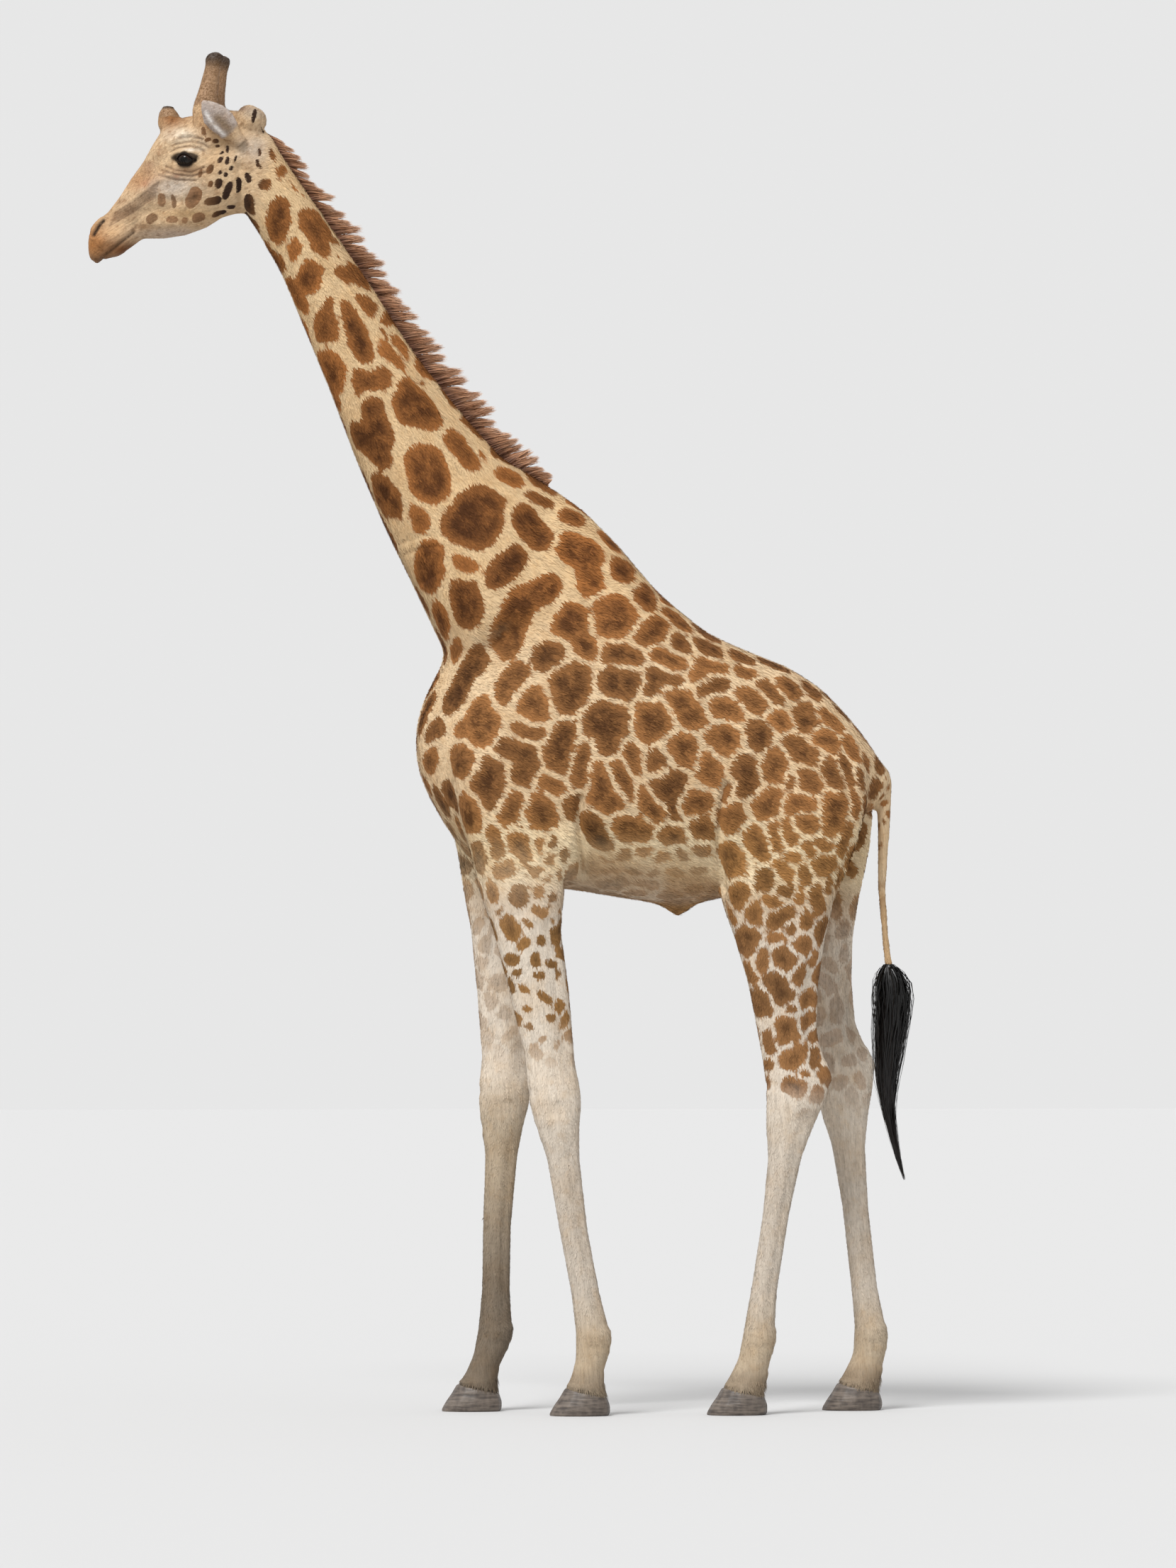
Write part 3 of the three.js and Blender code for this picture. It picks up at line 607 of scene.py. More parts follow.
def open_eyes(points):
    """Draws the skin over the balls as lids and lets it drop behind them in the opening."""
    own = head_axes(points)
    depth_in = np.full(len(points), 1.0)
    for side in (LEFT, RIGHT):
        centre = EYE * (1, side, 1)
        back, up, out = eye_turn(side)
        off = own - centre
        u, w, n = off @ back, off @ up, off @ out
        near = (np.hypot(u, w) < EYE_ZONE) & (n > -EYE_ZONE_DEPTH)
        u, w, n = u[near], w[near], n[near]
        upper, lower = opening(u)
        inside = np.minimum(upper - w, w - lower)
        ends = OPEN_HALF - np.abs(u)
        inside = np.where(ends < 0, -np.hypot(ends, np.minimum(inside, 0)), inside)
        snap = np.abs(inside) < LID_SNAP
        toward = np.where(upper - w < w - lower, 1.0, -1.0)
        w = w + np.where(snap & (ends > 0), toward * inside, 0)
        across = np.hypot(u, w)
        lid = np.sqrt(np.maximum((EYE_RADIUS + LID_THICK) ** 2 - across**2, 0))
        under = np.sqrt(np.maximum((EYE_RADIUS - HIDDEN) ** 2 - across**2, 0))
        drawn = step(-LID_REACH, -0.001, inside)
        outside = n * (1 - drawn) + np.maximum(lid, n * (1 - drawn)) * drawn
        n = np.where(inside > LID_SNAP, under, outside)
        own[near] = centre + u[:, None] * back + w[:, None] * up + n[:, None] * out
        depth_in[near] = np.minimum(depth_in[near], -inside)
    return from_head_axes(own), depth_in


# ---------- markings ----------

# Patches of the left side, in the side view, in centimetres: x, z, half length, half width
# and degrees of tilt. A patch of several lobes is a list of them.
NECK_PATCHES = [
    (-74, 392, 7.4, 3.3, 76), (-68.7, 383.5, 3.7, 2.3, 75), (-60, 388.5, 8.6, 4.8, -55),
    [(-63.3, 375, 5.4, 3.6, 70), (-67.5, 368.5, 6.2, 2.8, -60)], (-48, 374.5, 7.5, 4.2, -20),
    [(-57.6, 357.5, 5.6, 4.3, 80), (-57, 363, 4.2, 2, 85)], (-48, 355.5, 10.5, 3.3, -66),
    (-44, 366, 5.8, 3.2, -48), (-35, 350.5, 6.4, 4.6, -60),
    [(-56.5, 344, 7.2, 5.4, -50), (-55.5, 336, 6, 2.4, -70)], (-27, 333, 9.2, 7.4, -15),
    [(-41, 326, 9, 4.2, -78), (-43.5, 319, 8.6, 4, -35)], (-24.5, 309.5, 9, 6, -72),
    (-12.5, 318.5, 7.6, 5, -60), (-52, 385, 5.5, 1.3, -60), (-32.5, 356, 7.5, 1.6, -58),
    (-19.5, 339, 8, 1.8, -52), (-6, 321.5, 7, 2, -50), (2.5, 309, 5.6, 3.4, -35),
    [(-36.5, 301, 9, 3.6, -42), (-39.8, 299, 6, 2.2, -70)], (-9, 295, 10.6, 8.2, 55),
    (9.5, 292, 7.8, 4.8, -55), (12, 301.5, 4.6, 2.3, -15), (23.5, 295.5, 4.6, 3, 0),
    (-24, 279, 8, 5.4, 60), (1.5, 279, 7.8, 4.3, 48), (-12, 268, 8.6, 4.9, -78),
    (-26, 268, 5, 2.2, -55), [(3, 260, 10.4, 5, 70), (12, 270.5, 8, 4, 30)],
    [(25.5, 284.5, 7.6, 5.6, -30), (29, 275, 6.4, 4.4, -80)], (40, 279, 5.2, 4.2, 60),
    [(22.5, 260.5, 6.2, 5.2, 60), (27, 253, 5.6, 3.8, -60)], (38, 263, 7.6, 6.8, 0),
    (16, 249.5, 5.4, 4.6, 0), (-19, 253, 6, 1.9, -60),
    [(-8.5, 248, 5.8, 3.9, 45), (-14, 239, 8.4, 3.2, 60)],
    [(4.5, 243, 4.9, 3.8, 45), (0, 237.5, 5.4, 3.2, 70)],
]
TRUNK_PATCHES = [
    (39.5, 249.5, 5.7, 3.3, -5), (39, 240.5, 5.8, 4.5, -15), (22.5, 239, 7.4, 5.9, 80),
    (12, 233, 5.4, 4.8, 60), [(34, 228, 7, 5.8, 0), (35, 221.5, 4.6, 3.8, 60)],
    (-25, 231, 6, 1.9, 60), [(-6.5, 228, 6.8, 4.6, -80), (-11, 225.5, 4.2, 2.7, -10)],
    (-22.5, 223.5, 4.6, 2.8, 35), (-23.5, 216, 4.3, 2.9, 60), (-13.5, 215.5, 4.9, 3.9, -50),
    (9.5, 225, 5.2, 2.7, 0),
    [(3, 219.5, 4.4, 3.6, 20), (8.5, 216, 5.6, 3.2, -60), (7.5, 210, 3.8, 2.6, -30)],
    (19.5, 219, 7.8, 4.4, 75), (25.8, 214, 7, 3.4, 80), (43.5, 216.5, 5.6, 2.6, -70),
    (51.5, 215, 4, 3, 60), (60, 218.5, 5.4, 4.3, -30), (17, 208, 4.5, 3.4, -10),
    [(-4.5, 209.5, 5.6, 3.8, 60), (-2.5, 203.5, 4.6, 3, 60)],
    [(-16.5, 203, 4.6, 2.8, -70), (-20, 202, 5, 2, -50)],
    [(-11, 197.5, 6, 3.4, -65), (-13.5, 193, 5.4, 1.6, 85)], (3.5, 199.5, 5.4, 4, 60),
    (12.5, 197.5, 5.8, 4.4, -50), (5, 193.7, 2.5, 1.5, 10),
    [(32.5, 208.5, 5.6, 3.4, -75), (34, 202, 5.4, 3.6, -15)], (40.5, 208.5, 6.2, 2.7, -60),
    (49, 200.5, 6.4, 3, -58), [(55, 206.5, 5.4, 4.4, 10), (56.5, 200, 4.8, 2.4, -75)],
    (66, 202, 6.2, 4.3, 25), (31.5, 191.5, 7.2, 3.2, -65), (43, 192, 6, 3.4, -5),
    (56.5, 190.5, 4.8, 3.4, -20), (66.5, 193, 4.8, 3.6, 10), (-2.5, 188, 5.6, 2.1, -80),
    (6, 187, 5.8, 3, -60), (12.5, 188, 3.2, 1.6, 85), (16.5, 189, 2.6, 1.3, 85),
    (-7.5, 184, 4.6, 2.4, -70), (1, 179.5, 4.3, 2.3, 15), (11.5, 178.5, 2.9, 2.1, 0),
    (-3, 172.5, 5.6, 1.9, -80), (6, 170.5, 3.4, 3, 60), (11.5, 171.5, 2, 1.8, 0),
    (13.5, 165, 3.4, 1.5, -30), (17, 162.5, 2.4, 1, -25), (3, 160, 4.6, 3, -50),
    (9, 161.5, 2.4, 1.1, -40), (13.5, 155, 2, 1.5, 70), (3, 150, 3.4, 2.4, 0),
    (11.5, 149, 2.6, 2, -60), (17, 148, 2.6, 1.6, 0), (14.5, 137, 4, 1.7, -35),
    (8.5, 133, 2.2, 1.1, -20), (16.5, 115.5, 2.8, 1.6, -25), (-1, 166, 2, 1.3, 80),
    (12.5, 144.2, 2.6, 1.2, 0), (4.9, 145.3, 2.4, 1.3, 20), (19, 144.2, 1.8, 1.1, 70),
    (7, 139.8, 2.8, 1.5, -30), (16.8, 130, 2.4, 1.4, 0), (9.2, 127.5, 2.2, 1.2, 0),
    (14, 123, 2, 1.1, 30), (7.5, 120, 1.8, 1, 0), (18.5, 121, 1.7, 1.1, 60),
    (21, 111.8, 1.8, 1, 20), (12, 112, 1.8, 1, 0), (15.5, 183, 2.2, 1.4, 60),
    (20.5, 184, 2, 1.3, -60), (14.5, 176, 2.2, 1.3, 0), (18.5, 177.5, 1.9, 1.2, 60),
    (17, 170, 2, 1.2, 20), (19.5, 164.5, 1.8, 1.1, 80), (33.5, 183.5, 2.8, 1.6, -60),
    (40.5, 184, 2.6, 1.7, 20), (47, 185.2, 2.6, 1.6, -30), (53, 183, 2.4, 1.5, 10),
    (59.5, 184.3, 2.6, 1.6, -50), (66, 185, 2.8, 1.6, 0), (36, 178.6, 2.4, 1.3, 20),
    (43.5, 178.5, 2.4, 1.4, -20), (50.5, 177.5, 2.2, 1.3, 40), (57.5, 178, 2.4, 1.4, -40),
    (64.5, 178.6, 2.2, 1.3, 0),
]
RUMP_PATCHES = [
    (49.5, 258, 5.8, 4, 30), (59, 254, 3.6, 3, 0), (57.5, 262, 5.6, 2.9, -45),
    (68, 252.5, 4.4, 2.9, -20), (54.5, 248.7, 5.4, 2.6, -15),
    [(70, 246.5, 5, 1.9, -5), (65, 244, 3.9, 2.3, 45)],
    [(50, 240.5, 5, 3, 75), (55.5, 241.5, 4.8, 2.1, -10)], (70, 239.5, 5.2, 3, 20),
    (79.5, 249, 4, 2.6, -25), (81, 244, 3.9, 2.3, -10), (89.5, 247, 4.7, 2.1, -30),
    (50, 228.5, 6, 5.6, 0), [(60, 233, 6.2, 4.5, -70), (63, 230, 5, 4, 0)],
    (74, 232, 5.5, 4.3, -15), (72.5, 222, 5.8, 5.2, 40), (83, 234.5, 5.4, 3.2, -35),
    [(88, 239, 4.2, 2.3, -60), (90.5, 235.5, 3.3, 2.1, -30)], (95.5, 239, 4.4, 3.1, -55),
    (102.5, 238.5, 3.6, 2.6, -60), (69, 212, 7, 4.1, 85), (74.5, 204, 4.1, 2.1, 70),
    (76.5, 196, 5.1, 4.3, 0), (85, 223.5, 4.9, 4.4, 80), (92, 228, 4.1, 3.4, -50),
    (100.5, 230, 4.9, 3.8, 70), (108.5, 229, 5.1, 2.5, -45), (98.5, 218.5, 6.6, 3.4, -25),
    (107.5, 221.5, 4.3, 3.4, -30), (115.5, 219.5, 4.3, 2.6, -75), (120.5, 215, 2.4, 2, -40),
    [(80.5, 213, 4.7, 3.5, 60), (81, 206, 4.4, 3.8, 0)], (90.5, 214, 5.6, 3.7, 80),
    (95.5, 208.5, 2.8, 2.1, 70), (102, 208.5, 4.7, 3.7, -40), (109.5, 210, 5.1, 2.9, -70),
    (114.5, 211, 5.1, 1.9, -75), (118.5, 209, 3.1, 1.7, 80), (87.5, 201, 5.4, 4, 45),
    (98.5, 201, 5.7, 3.1, 0), (110, 197.5, 6.2, 4, 80), (116.5, 201, 4.2, 1.6, -80),
    (84, 188.5, 6.2, 3.7, -60), (90.5, 189.5, 4.7, 2.5, -75), (95.5, 191.5, 4, 2.3, -60),
    (101, 194.5, 3.9, 3.5, 0), (113.5, 190, 5.4, 2.4, 70), (96.3, 183.8, 3, 2, 0),
    (101.5, 185.5, 3.2, 2.3, -60), (106.5, 186.8, 3, 2.1, -30), (77, 182, 5.2, 3.8, -60),
    (82.5, 181.2, 1.9, 1.7, 0), (93.2, 179, 4, 2.3, -25), (100, 177.5, 3.3, 2.4, -60),
    (106.5, 181, 4.6, 3.1, 20), (116, 184, 4, 2.1, 50), (111.8, 177, 3.8, 2.1, 80),
    (86.8, 175.5, 3.7, 3, 80), (81.5, 175.7, 1.5, 1.1, 0), (78.5, 170.5, 4.2, 3.4, 60),
    (94.5, 172.2, 2.8, 2, 0), (98.5, 170, 3.1, 1.9, 80), (104.5, 169, 4.7, 2.6, -80),
    (109, 174, 2.7, 1.7, 60), (110.5, 166.5, 3.9, 1.7, 85), (76, 165, 4.6, 1.6, -65),
    (84, 164, 4.3, 2.9, -70), (90, 168.5, 3.6, 2.1, -20), (92.5, 163.5, 4.8, 2.9, 30),
    (96.5, 159, 2.6, 1.6, -80), (101.3, 163, 3.3, 2.3, 90), (106, 159, 4, 2.5, 70),
    (81.5, 156, 4.6, 3.9, 60), (90.5, 156, 2.7, 1.7, 15), (100, 154.5, 3.5, 2.9, 0),
    (107.5, 155, 2.8, 1.1, 75), (86.5, 150, 3.9, 2.3, 80), (93.5, 149.5, 4.9, 3.2, -30),
    (103.8, 150.5, 2.9, 1.7, 85), (82.5, 145.5, 3.6, 1.9, -55), (98.5, 145, 3.9, 2.1, 80),
    (92, 140, 4.6, 3.8, -60), (86, 136, 4.2, 3.3, -80), (101.5, 135.5, 3.2, 2.9, 30),
    (96, 133, 2.1, 1.7, 0), (101.2, 129, 2.9, 2.1, 40), (94.5, 125.5, 4.1, 3.3, -70),
    (103.5, 124.5, 2.3, 1.9, 0), (89, 122, 3.3, 1.9, -70), (97, 118, 4.3, 2.9, 50),
    (103.5, 117, 3.6, 1.9, 80), (107.5, 111, 3.1, 2.1, -30), (101, 112, 1.6, 1.1, 0),
    (97.5, 107, 3.9, 2.5, -20), (104.3, 105, 2.7, 2.4, 0), (102, 97.5, 3.6, 1.9, -20),
]
HEAD_PATCHES = [
    (-101.2, 399.8, 4, 2.6, 60), (-112, 399.5, 2.2, 1.2, 90), (-108, 399, 2.3, 1, 95),
    (-94.8, 398.6, 2.8, 1.4, 25), (-90.5, 402.2, 3.1, 1.3, 80), (-87, 404, 2.6, 1.1, 100),
    (-93.6, 404.6, 1.9, 1.1, 80), (-95.8, 404.2, 1.3, 0.6, 70), (-83.7, 406.8, 2, 0.9, 105),
    (-82.8, 397.6, 3.7, 2.4, 80), (-89, 396.8, 1.5, 0.9, 0), (-91.5, 407.9, 1, 0.7, 60),
    (-89.3, 410, 1, 0.7, 40), (-90.8, 412.4, 1.4, 0.7, 80), (-93, 412.2, 1.2, 0.7, 60),
    (-87.8, 413, 1.3, 0.5, 80), (-92.5, 414.6, 0.9, 0.5, 40), (-90.5, 416, 1.3, 0.6, 80),
    (-93.6, 417, 0.8, 0.5, 0), (-96.2, 409, 1.8, 0.9, 75), (-93.2, 408.4, 0.9, 0.5, 60),
    (-96.5, 419.6, 1.4, 0.8, 30), (-94, 419, 1, 1, 0), (-97.5, 422.6, 1.4, 0.8, 100),
    (-95.2, 423.2, 1.1, 0.8, 60), (-99, 407.5, 1.5, 0.6, 75), (-115, 393.2, 2.1, 1.3, 35),
    (-108.5, 393, 2.2, 1.4, 0), (-104, 392.6, 1.1, 1, 0), (-99.5, 393.2, 1.9, 1.6, 20),
    (-93, 394.7, 2.6, 1.2, 25), (-78.2, 404.6, 2.3, 2, 0), (-72.2, 408, 3.9, 2.6, -65),
    (-66.6, 402.6, 3.3, 1.9, -55), (-76, 414.5, 2.5, 0.9, 100), (-80, 415.5, 1.1, 0.6, 80),
    (-66.5, 407, 5, 1.3, -52), (-81.5, 427, 2.8, 0.8, 80), (-80.5, 411.8, 2.2, 0.45, 108),
    (-78.6, 422.5, 1.3, 0.5, 130),
]
GAP = 0.0088  # half the least width of the ground between two patches, on the trunk
NECK_GROWTH, TRUNK_GROWTH = 1.18, 1.38  # how far patches reach past what was drawn
BOXINESS = 2.5  # how square a lobe is: 2 is an ellipse
FREE_TRIES = 9000
FREE_SIZE = {"head": 0.012, "neck": 0.05, "trunk": 0.043, "leg": 0.026, "tail": 0.014}
GAP_SHARE = {"head": 0.2, "neck": 1.35, "trunk": 1.0, "leg": 0.75, "tail": 0.9}
FREE_STRETCH, FREE_CLEAR = 1.35, 0.004  # how long free patches are, and the space between
FAR_OUT = 3  # a patch is felt as far as this many times its size
MIRROR_SHIFT, MIRROR_TURN = 0.35, 18  # how far the right side's patches stray, in patches, degrees
# What makes outlines uneven: how fine, where in the noise, and how far points are pushed.
WOBBLES = [(28, 0, 0.005), (11, 5, 0.01)]


def skin_tree(mesh):
    return BVHTree.FromPolygons(points_of(mesh).tolist(), triangles_of(mesh).tolist())


def side_hit(tree, x, z):
    """Where the camera sees the place (x, z) of the middle plane on the skin."""
    eye = Vector(camera_place())
    aim = Vector((x, 0, z))
    hit, normal, _, _ = tree.ray_cast(eye, (aim - eye).normalized())
    if hit is None:
        hit, normal, _, _ = tree.find_nearest(aim + Vector((0, -0.12, 0)))
    return np.array(hit), np.array(normal)


def leg_shift(z):
    """How much further back the right legs stand than the left ones: fore, hind."""
    heights = [0.1, 0.25, 1.0, 1.7, 2.1]
    fore = np.interp(z, heights, [-0.33, -0.3, -0.154, -0.03, 0])
    hind = np.interp(z, heights, [0.4, 0.4, 0.178, 0.11, 0])
    return fore, hind


def make_lobe(at, normal, length, width, tilt):
    along = np.array([np.cos(tilt), 0, np.sin(tilt)])
    along = unit(along - normal * (along @ normal))
    across = np.cross(normal, along)
    deep = 1.15 * max(length, width)
    return at, np.stack([along / length, across / width, normal / deep])


def drawn_patches(tree):
    """The patches of the left side and, roughly mirrored, of the right one."""
    patches = []
    groups = [
        (HEAD_PATCHES, 1.0), (NECK_PATCHES, NECK_GROWTH),
        (TRUNK_PATCHES, TRUNK_GROWTH), (RUMP_PATCHES, TRUNK_GROWTH),
    ]
    for rows, growth in groups:
        for row in rows:
            lobes = row if isinstance(row, list) else [row]
            left, right = [], []
            jitter = rng.normal(0, MIRROR_SHIFT, 3)
            for x, z, length, width, tilt in lobes:
                at, normal = side_hit(tree, x / 100, z / 100)
                grown = np.interp(z, [150, 185], [0.95, growth]) if x < 50 else growth
                sizes = (length * grown / 100, width * grown / 100)
                left.append(make_lobe(at, normal, *sizes, np.radians(tilt)))
                if rows is HEAD_PATCHES:
                    own = head_axes(at[None]) * (1, -1, 1)
                    mirrored = from_head_axes(own)[0]
                else:
                    fore, hind = leg_shift(at[2])
                    shift = hind if at[0] > 0.55 else fore
                    mirrored = at * (1, -1, 1) + (shift, 0, 0)
                mirrored = mirrored + np.array([jitter[0], 0, jitter[1]]) * sizes[1]
                hit, normal, _, _ = tree.find_nearest(mirrored)
                turn = np.radians(tilt + MIRROR_TURN * jitter[2])
                right.append(make_lobe(np.array(hit), np.array(normal), *sizes, turn))
            patches += [left, right]
    return patches


def patch_size(points):
    """The usual half width of a patch where none was drawn."""
    shares = region_shares(points)
    rear = step(0.6, 0.9, points[:, 0]) * (1 - shares["leg"]) * (1 - shares["tail"])
    chest = step(0.0, -0.2, points[:, 0]) * shares["trunk"]
    return by_region(shares, FREE_SIZE) * (1 - 0.25 * rear) * (1 - 0.2 * chest)


def free_patches(points, normals, patches):
    """Fills the rest of the coat with patches, each clear of those already there."""
    spots = np.array([lobe[0] for lobes in patches for lobe in lobes])
    sizes = np.array([1 / np.linalg.norm(m[:2], axis=1).mean() for p in patches for _, m in p])
    shares = region_shares(points)
    wanted = patch_size(points)
    allowed = np.flatnonzero((shares["head"] < 0.3) & (points[:, 2] > 1.0))
    made = []
    for i in rng.choice(allowed, FREE_TRIES):
        size = wanted[i] * rng.uniform(0.75, 1.2)
        gap = np.linalg.norm(spots - points[i], axis=1)
        if (gap < (sizes + size) * 0.98 + FREE_CLEAR).any():
            continue
        slope = FREE_STRETCH * rng.uniform(0.85, 1.1)
        sizes_here = (1.2 * size * slope, 1.2 * size / slope**0.5)
        lobe = make_lobe(points[i], normals[i], *sizes_here, rng.uniform(0, 3))
        made.append([lobe])
        spots = np.vstack([spots, points[i]])
        sizes = np.append(sizes, size)
    return made


def wobbled(points):
    """Points pushed about a little, so that a patch's outline isn't even."""
    moved = points
    for fine, place, push in WOBBLES:
        away = Vector((place, place, place))
        waves = [noise.noise_vector(Vector(point) * fine + away) for point in points]
        moved = moved + push * np.array(waves)
    return moved


def patch_values(points, patches, gap):
    """For each point how far it lies inside its patch, the way to that patch's middle, and
    the patch's number. It is below 0 on the ground between patches."""
    first = np.full(len(points), -1.0)
    second = np.full(len(points), -1.0)
    heart = np.zeros((len(points), 3))
    which = np.zeros(len(points), int)
    for number, lobes in enumerate(patches):
        best = None
        for at, axes in lobes:
            reach = 3.2 / np.linalg.norm(axes[:2], axis=1).min()
            near = np.flatnonzero(np.abs(points - at).max(1) < reach)
            off = points[near] - at
            local = np.abs(off @ axes.T)
            e = (local**BOXINESS).sum(1) ** (1 / BOXINESS)
            far = np.linalg.norm(off, axis=1)
            inside = far * (1 / np.maximum(e, 0.05) - 1)
            field = np.full(len(points), -1.0)
            field[near] = np.where(e > FAR_OUT, -1.0, inside)
            best = field if best is None else np.maximum(best, field)
        near = np.flatnonzero(best > -1)
        value = best[near]
        ahead = value > first[near]
        second[near] = np.where(ahead, first[near], np.maximum(second[near], value))
        moved = near[ahead]
        first[moved] = value[ahead]
        which[moved] = number
        centre = np.mean([at for at, _ in lobes], axis=0)
        heart[moved] = points[moved] - centre
    apart = (first - second) / 2 - gap
    return np.minimum(first, apart), heart, which


# ---------- colours of the coat ----------

PATCH_NECK, PATCH_TRUNK, PATCH_LEG = rgb("945e30"), rgb("97673b"), rgb("926840")
PATCH_FACE, PATCH_JAW = rgb("8a6546"), rgb("38261c")
PATCH_FORELEG, PATCH_BELLY = rgb("8d673c"), rgb("98703f")
GROUND_NECK, GROUND_TRUNK, GROUND_LEG = rgb("d6b88e"), rgb("dabf9a"), rgb("d8cbba")
# The second of these is the belly's warm tan, which also serves as painted shade on skin that faces
# down.
GROUND_HEAD, BELLY_TAN_AND_SHADE, GROUND_FOOT = rgb("d6b994"), rgb("b08858"), rgb("c1b5a6")
FLANK_COLOUR = rgb("e2cda8")
# The first two are painted shade on the far foreleg, the second deeper towards the hoof; the third
# is the pastern's stain.
FAR_FORELEG_SHADE, FAR_FORELEG_DEEP_SHADE, PASTERN_COLOUR = rgb("a8957a"), rgb("685d51"), rgb("ab9471")
# Tints of the head in its side view, in its own axes: x, z, reach along x and z, colour, share.
# Some are painted highlights and painted shade.
HEAD_TINTS_AND_PAINTED_LIGHT = [
    (-1.17, 4.075, 0.08, 0.034, "c08f63", 0.75), (-1.075, 4.285, 0.05, 0.05, "99683f", 0.95),
    # Both of these: the brow's pale cream above and behind the eye, brightened by a painted
    # highlight.
    (-1.04, 4.222, 0.06, 0.024, "efe2cb", 0.85), (-0.965, 4.19, 0.03, 0.03, "e8dac3", 0.6),
    (-0.955, 4.27, 0.05, 0.06, "bd9267", 0.7), (-1.06, 4.05, 0.09, 0.036, "cfc2b4", 0.8),
    (-1.01, 4.1, 0.07, 0.018, "b28a67", 0.65), (-1.235, 3.965, 0.07, 0.024, "8a6a4c", 0.7),
    (-1.33, 3.87, 0.075, 0.08, "a8713f", 0.95), (-1.262, 3.902, 0.035, 0.012, "d8b284", 0.6),
    # The second of these: painted shadow on the chin under the lower lip.
    (-1.225, 3.846, 0.08, 0.036, "74441f", 0.97), (-1.285, 3.812, 0.06, 0.018, "4d2d20", 0.92),
    (-1.2, 3.984, 0.035, 0.018, "77604a", 0.7), (-1.145, 4.014, 0.035, 0.018, "77604a", 0.65),
    (-1.155, 4.105, 0.022, 0.012, "a27c5c", 0.6), (-1.105, 4.165, 0.02, 0.018, "a98463", 0.6),
    (-1.07, 4.225, 0.022, 0.02, "b08b68", 0.5), (-1.245, 4.01, 0.03, 0.014, "9a7558", 0.6),
    (-1.07, 3.9, 0.12, 0.022, "bfaa9a", 0.75), (-1.0, 3.962, 0.1, 0.018, "b8925f", 0.55),
    (-0.87, 4.2, 0.045, 0.028, "ae8a5e", 0.75), (-0.8, 4.175, 0.06, 0.05, "c8b9aa", 0.7),
    # The second of these: dark hair behind the ear's upper rim, deepened by painted shade.
    (-0.8, 4.3, 0.05, 0.03, "b5a594", 0.7), (-0.85, 4.308, 0.035, 0.012, "6b5249", 0.8),
    # The first of these: a painted highlight on the upper lid.
    (-0.998, 4.171, 0.024, 0.006, "f4ecdd", 0.85), (-1.157, 4.065, 0.018, 0.012, "b3805f", 0.6),
    (-1.148, 4.125, 0.024, 0.016, "a0765a", 0.65), (-1.048, 4.083, 0.012, 0.009, "a3735a", 0.6),
    (-1.161, 3.923, 0.032, 0.011, "a67a52", 0.6),
]
# Dark skin of the lids; the same colour is painted shade in the nostrils and along the mouth, and
# painted shadow along the upper lid.
DARK_SKIN_AND_SHADE = rgb("241a15")
# Painted shade in the folds of the muzzle and the lids, and how strongly it shows.
CREASE_SHADE_COLOUR, CREASE_SHADE_SHARE = rgb("654a38"), 0.55
EAR_COLOUR, CORONET_COLOUR, HORN_COLOUR = rgb("bfb1a8"), rgb("80715f"), rgb("977656")
HORN_TIP, EAR_HOLLOW, EAR_RIM = rgb("231812"), rgb("80694e"), rgb("f3eee9")
EAR_STAIN = [(-0.905, 4.268), (-0.872, 4.232)]
EAR_EDGES = [
    [(-0.946, 4.331), (-0.904, 4.325), (-0.865, 4.297), (-0.84, 4.259)],
    [(-0.943, 4.287), (-0.923, 4.251), (-0.889, 4.215)],
]
# The height of each horn's foot in the head's own axes, and what parts the horns, from HEAD_ZERO.
HORN_PLANES = {"ossicone_left": 4.318, "ossicone_right": 4.318, "ossicone_front": 4.287}
FRONT_HORN_BACK, HORN_PARTING = -0.25, 0.005


def mixed(first, second, share):
    return first * (1 - share[:, None]) + second * share[:, None]


def layered(colour, layers):
    """A colour with others laid over it in turn, each as far as its share says."""
    for over, share in layers:
        colour = mixed(colour, over, share)
    return colour


def horn_share(points):
    """1 where the skin covers one of the three horns, and the height up the horn."""
    own = head_axes(points)
    ears = ear_share(points)
    share = np.zeros(len(points))
    height = np.zeros(len(points))
    for name, plane in HORN_PLANES.items():
        low, high = (np.array(corner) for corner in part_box(name))
        inside = np.minimum(points - low + 0.004, high + 0.004 - points)[:, :2].min(1) > 0
        up = own[:, 2] - plane
        here = inside & (up > 0) & (ears < 0.5)
        share[here] = 1.0
        height[here] = up[here] / (high[2] + 0.018 - plane)
    return share, height


def mark_strength(points, normals, shares, own, ears, under):
    """How strongly the patches show: less on the belly, the inner legs, muzzle and ears."""
    x, y, z = points.T
    rear = step(0.5, 0.6, x)
    inner = step(0.15, -0.5, normals[:, 1] * np.sign(y)) * shares["leg"]
    low = rear * step(1.12, 0.93, z) + (1 - rear) * step(1.32, 1.08, z)
    strength = (1 - low) * (1 - 0.6 * inner) * (1 - 0.7 * under)
    strength *= 1 - 0.3 * step(1.93, 1.75, z) * shares["trunk"] * step(0.75, 0.6, x)
    strength *= 1 - step(-1.17, -1.22, own[:, 0]) * shares["head"]
    strength *= 1 - 0.12 * step(-0.95, -1.05, own[:, 0]) * shares["head"]
    strength *= (1 - 0.8 * ears) * (1 - shares["tail"] * step(1.9, 1.6, z))
    return strength


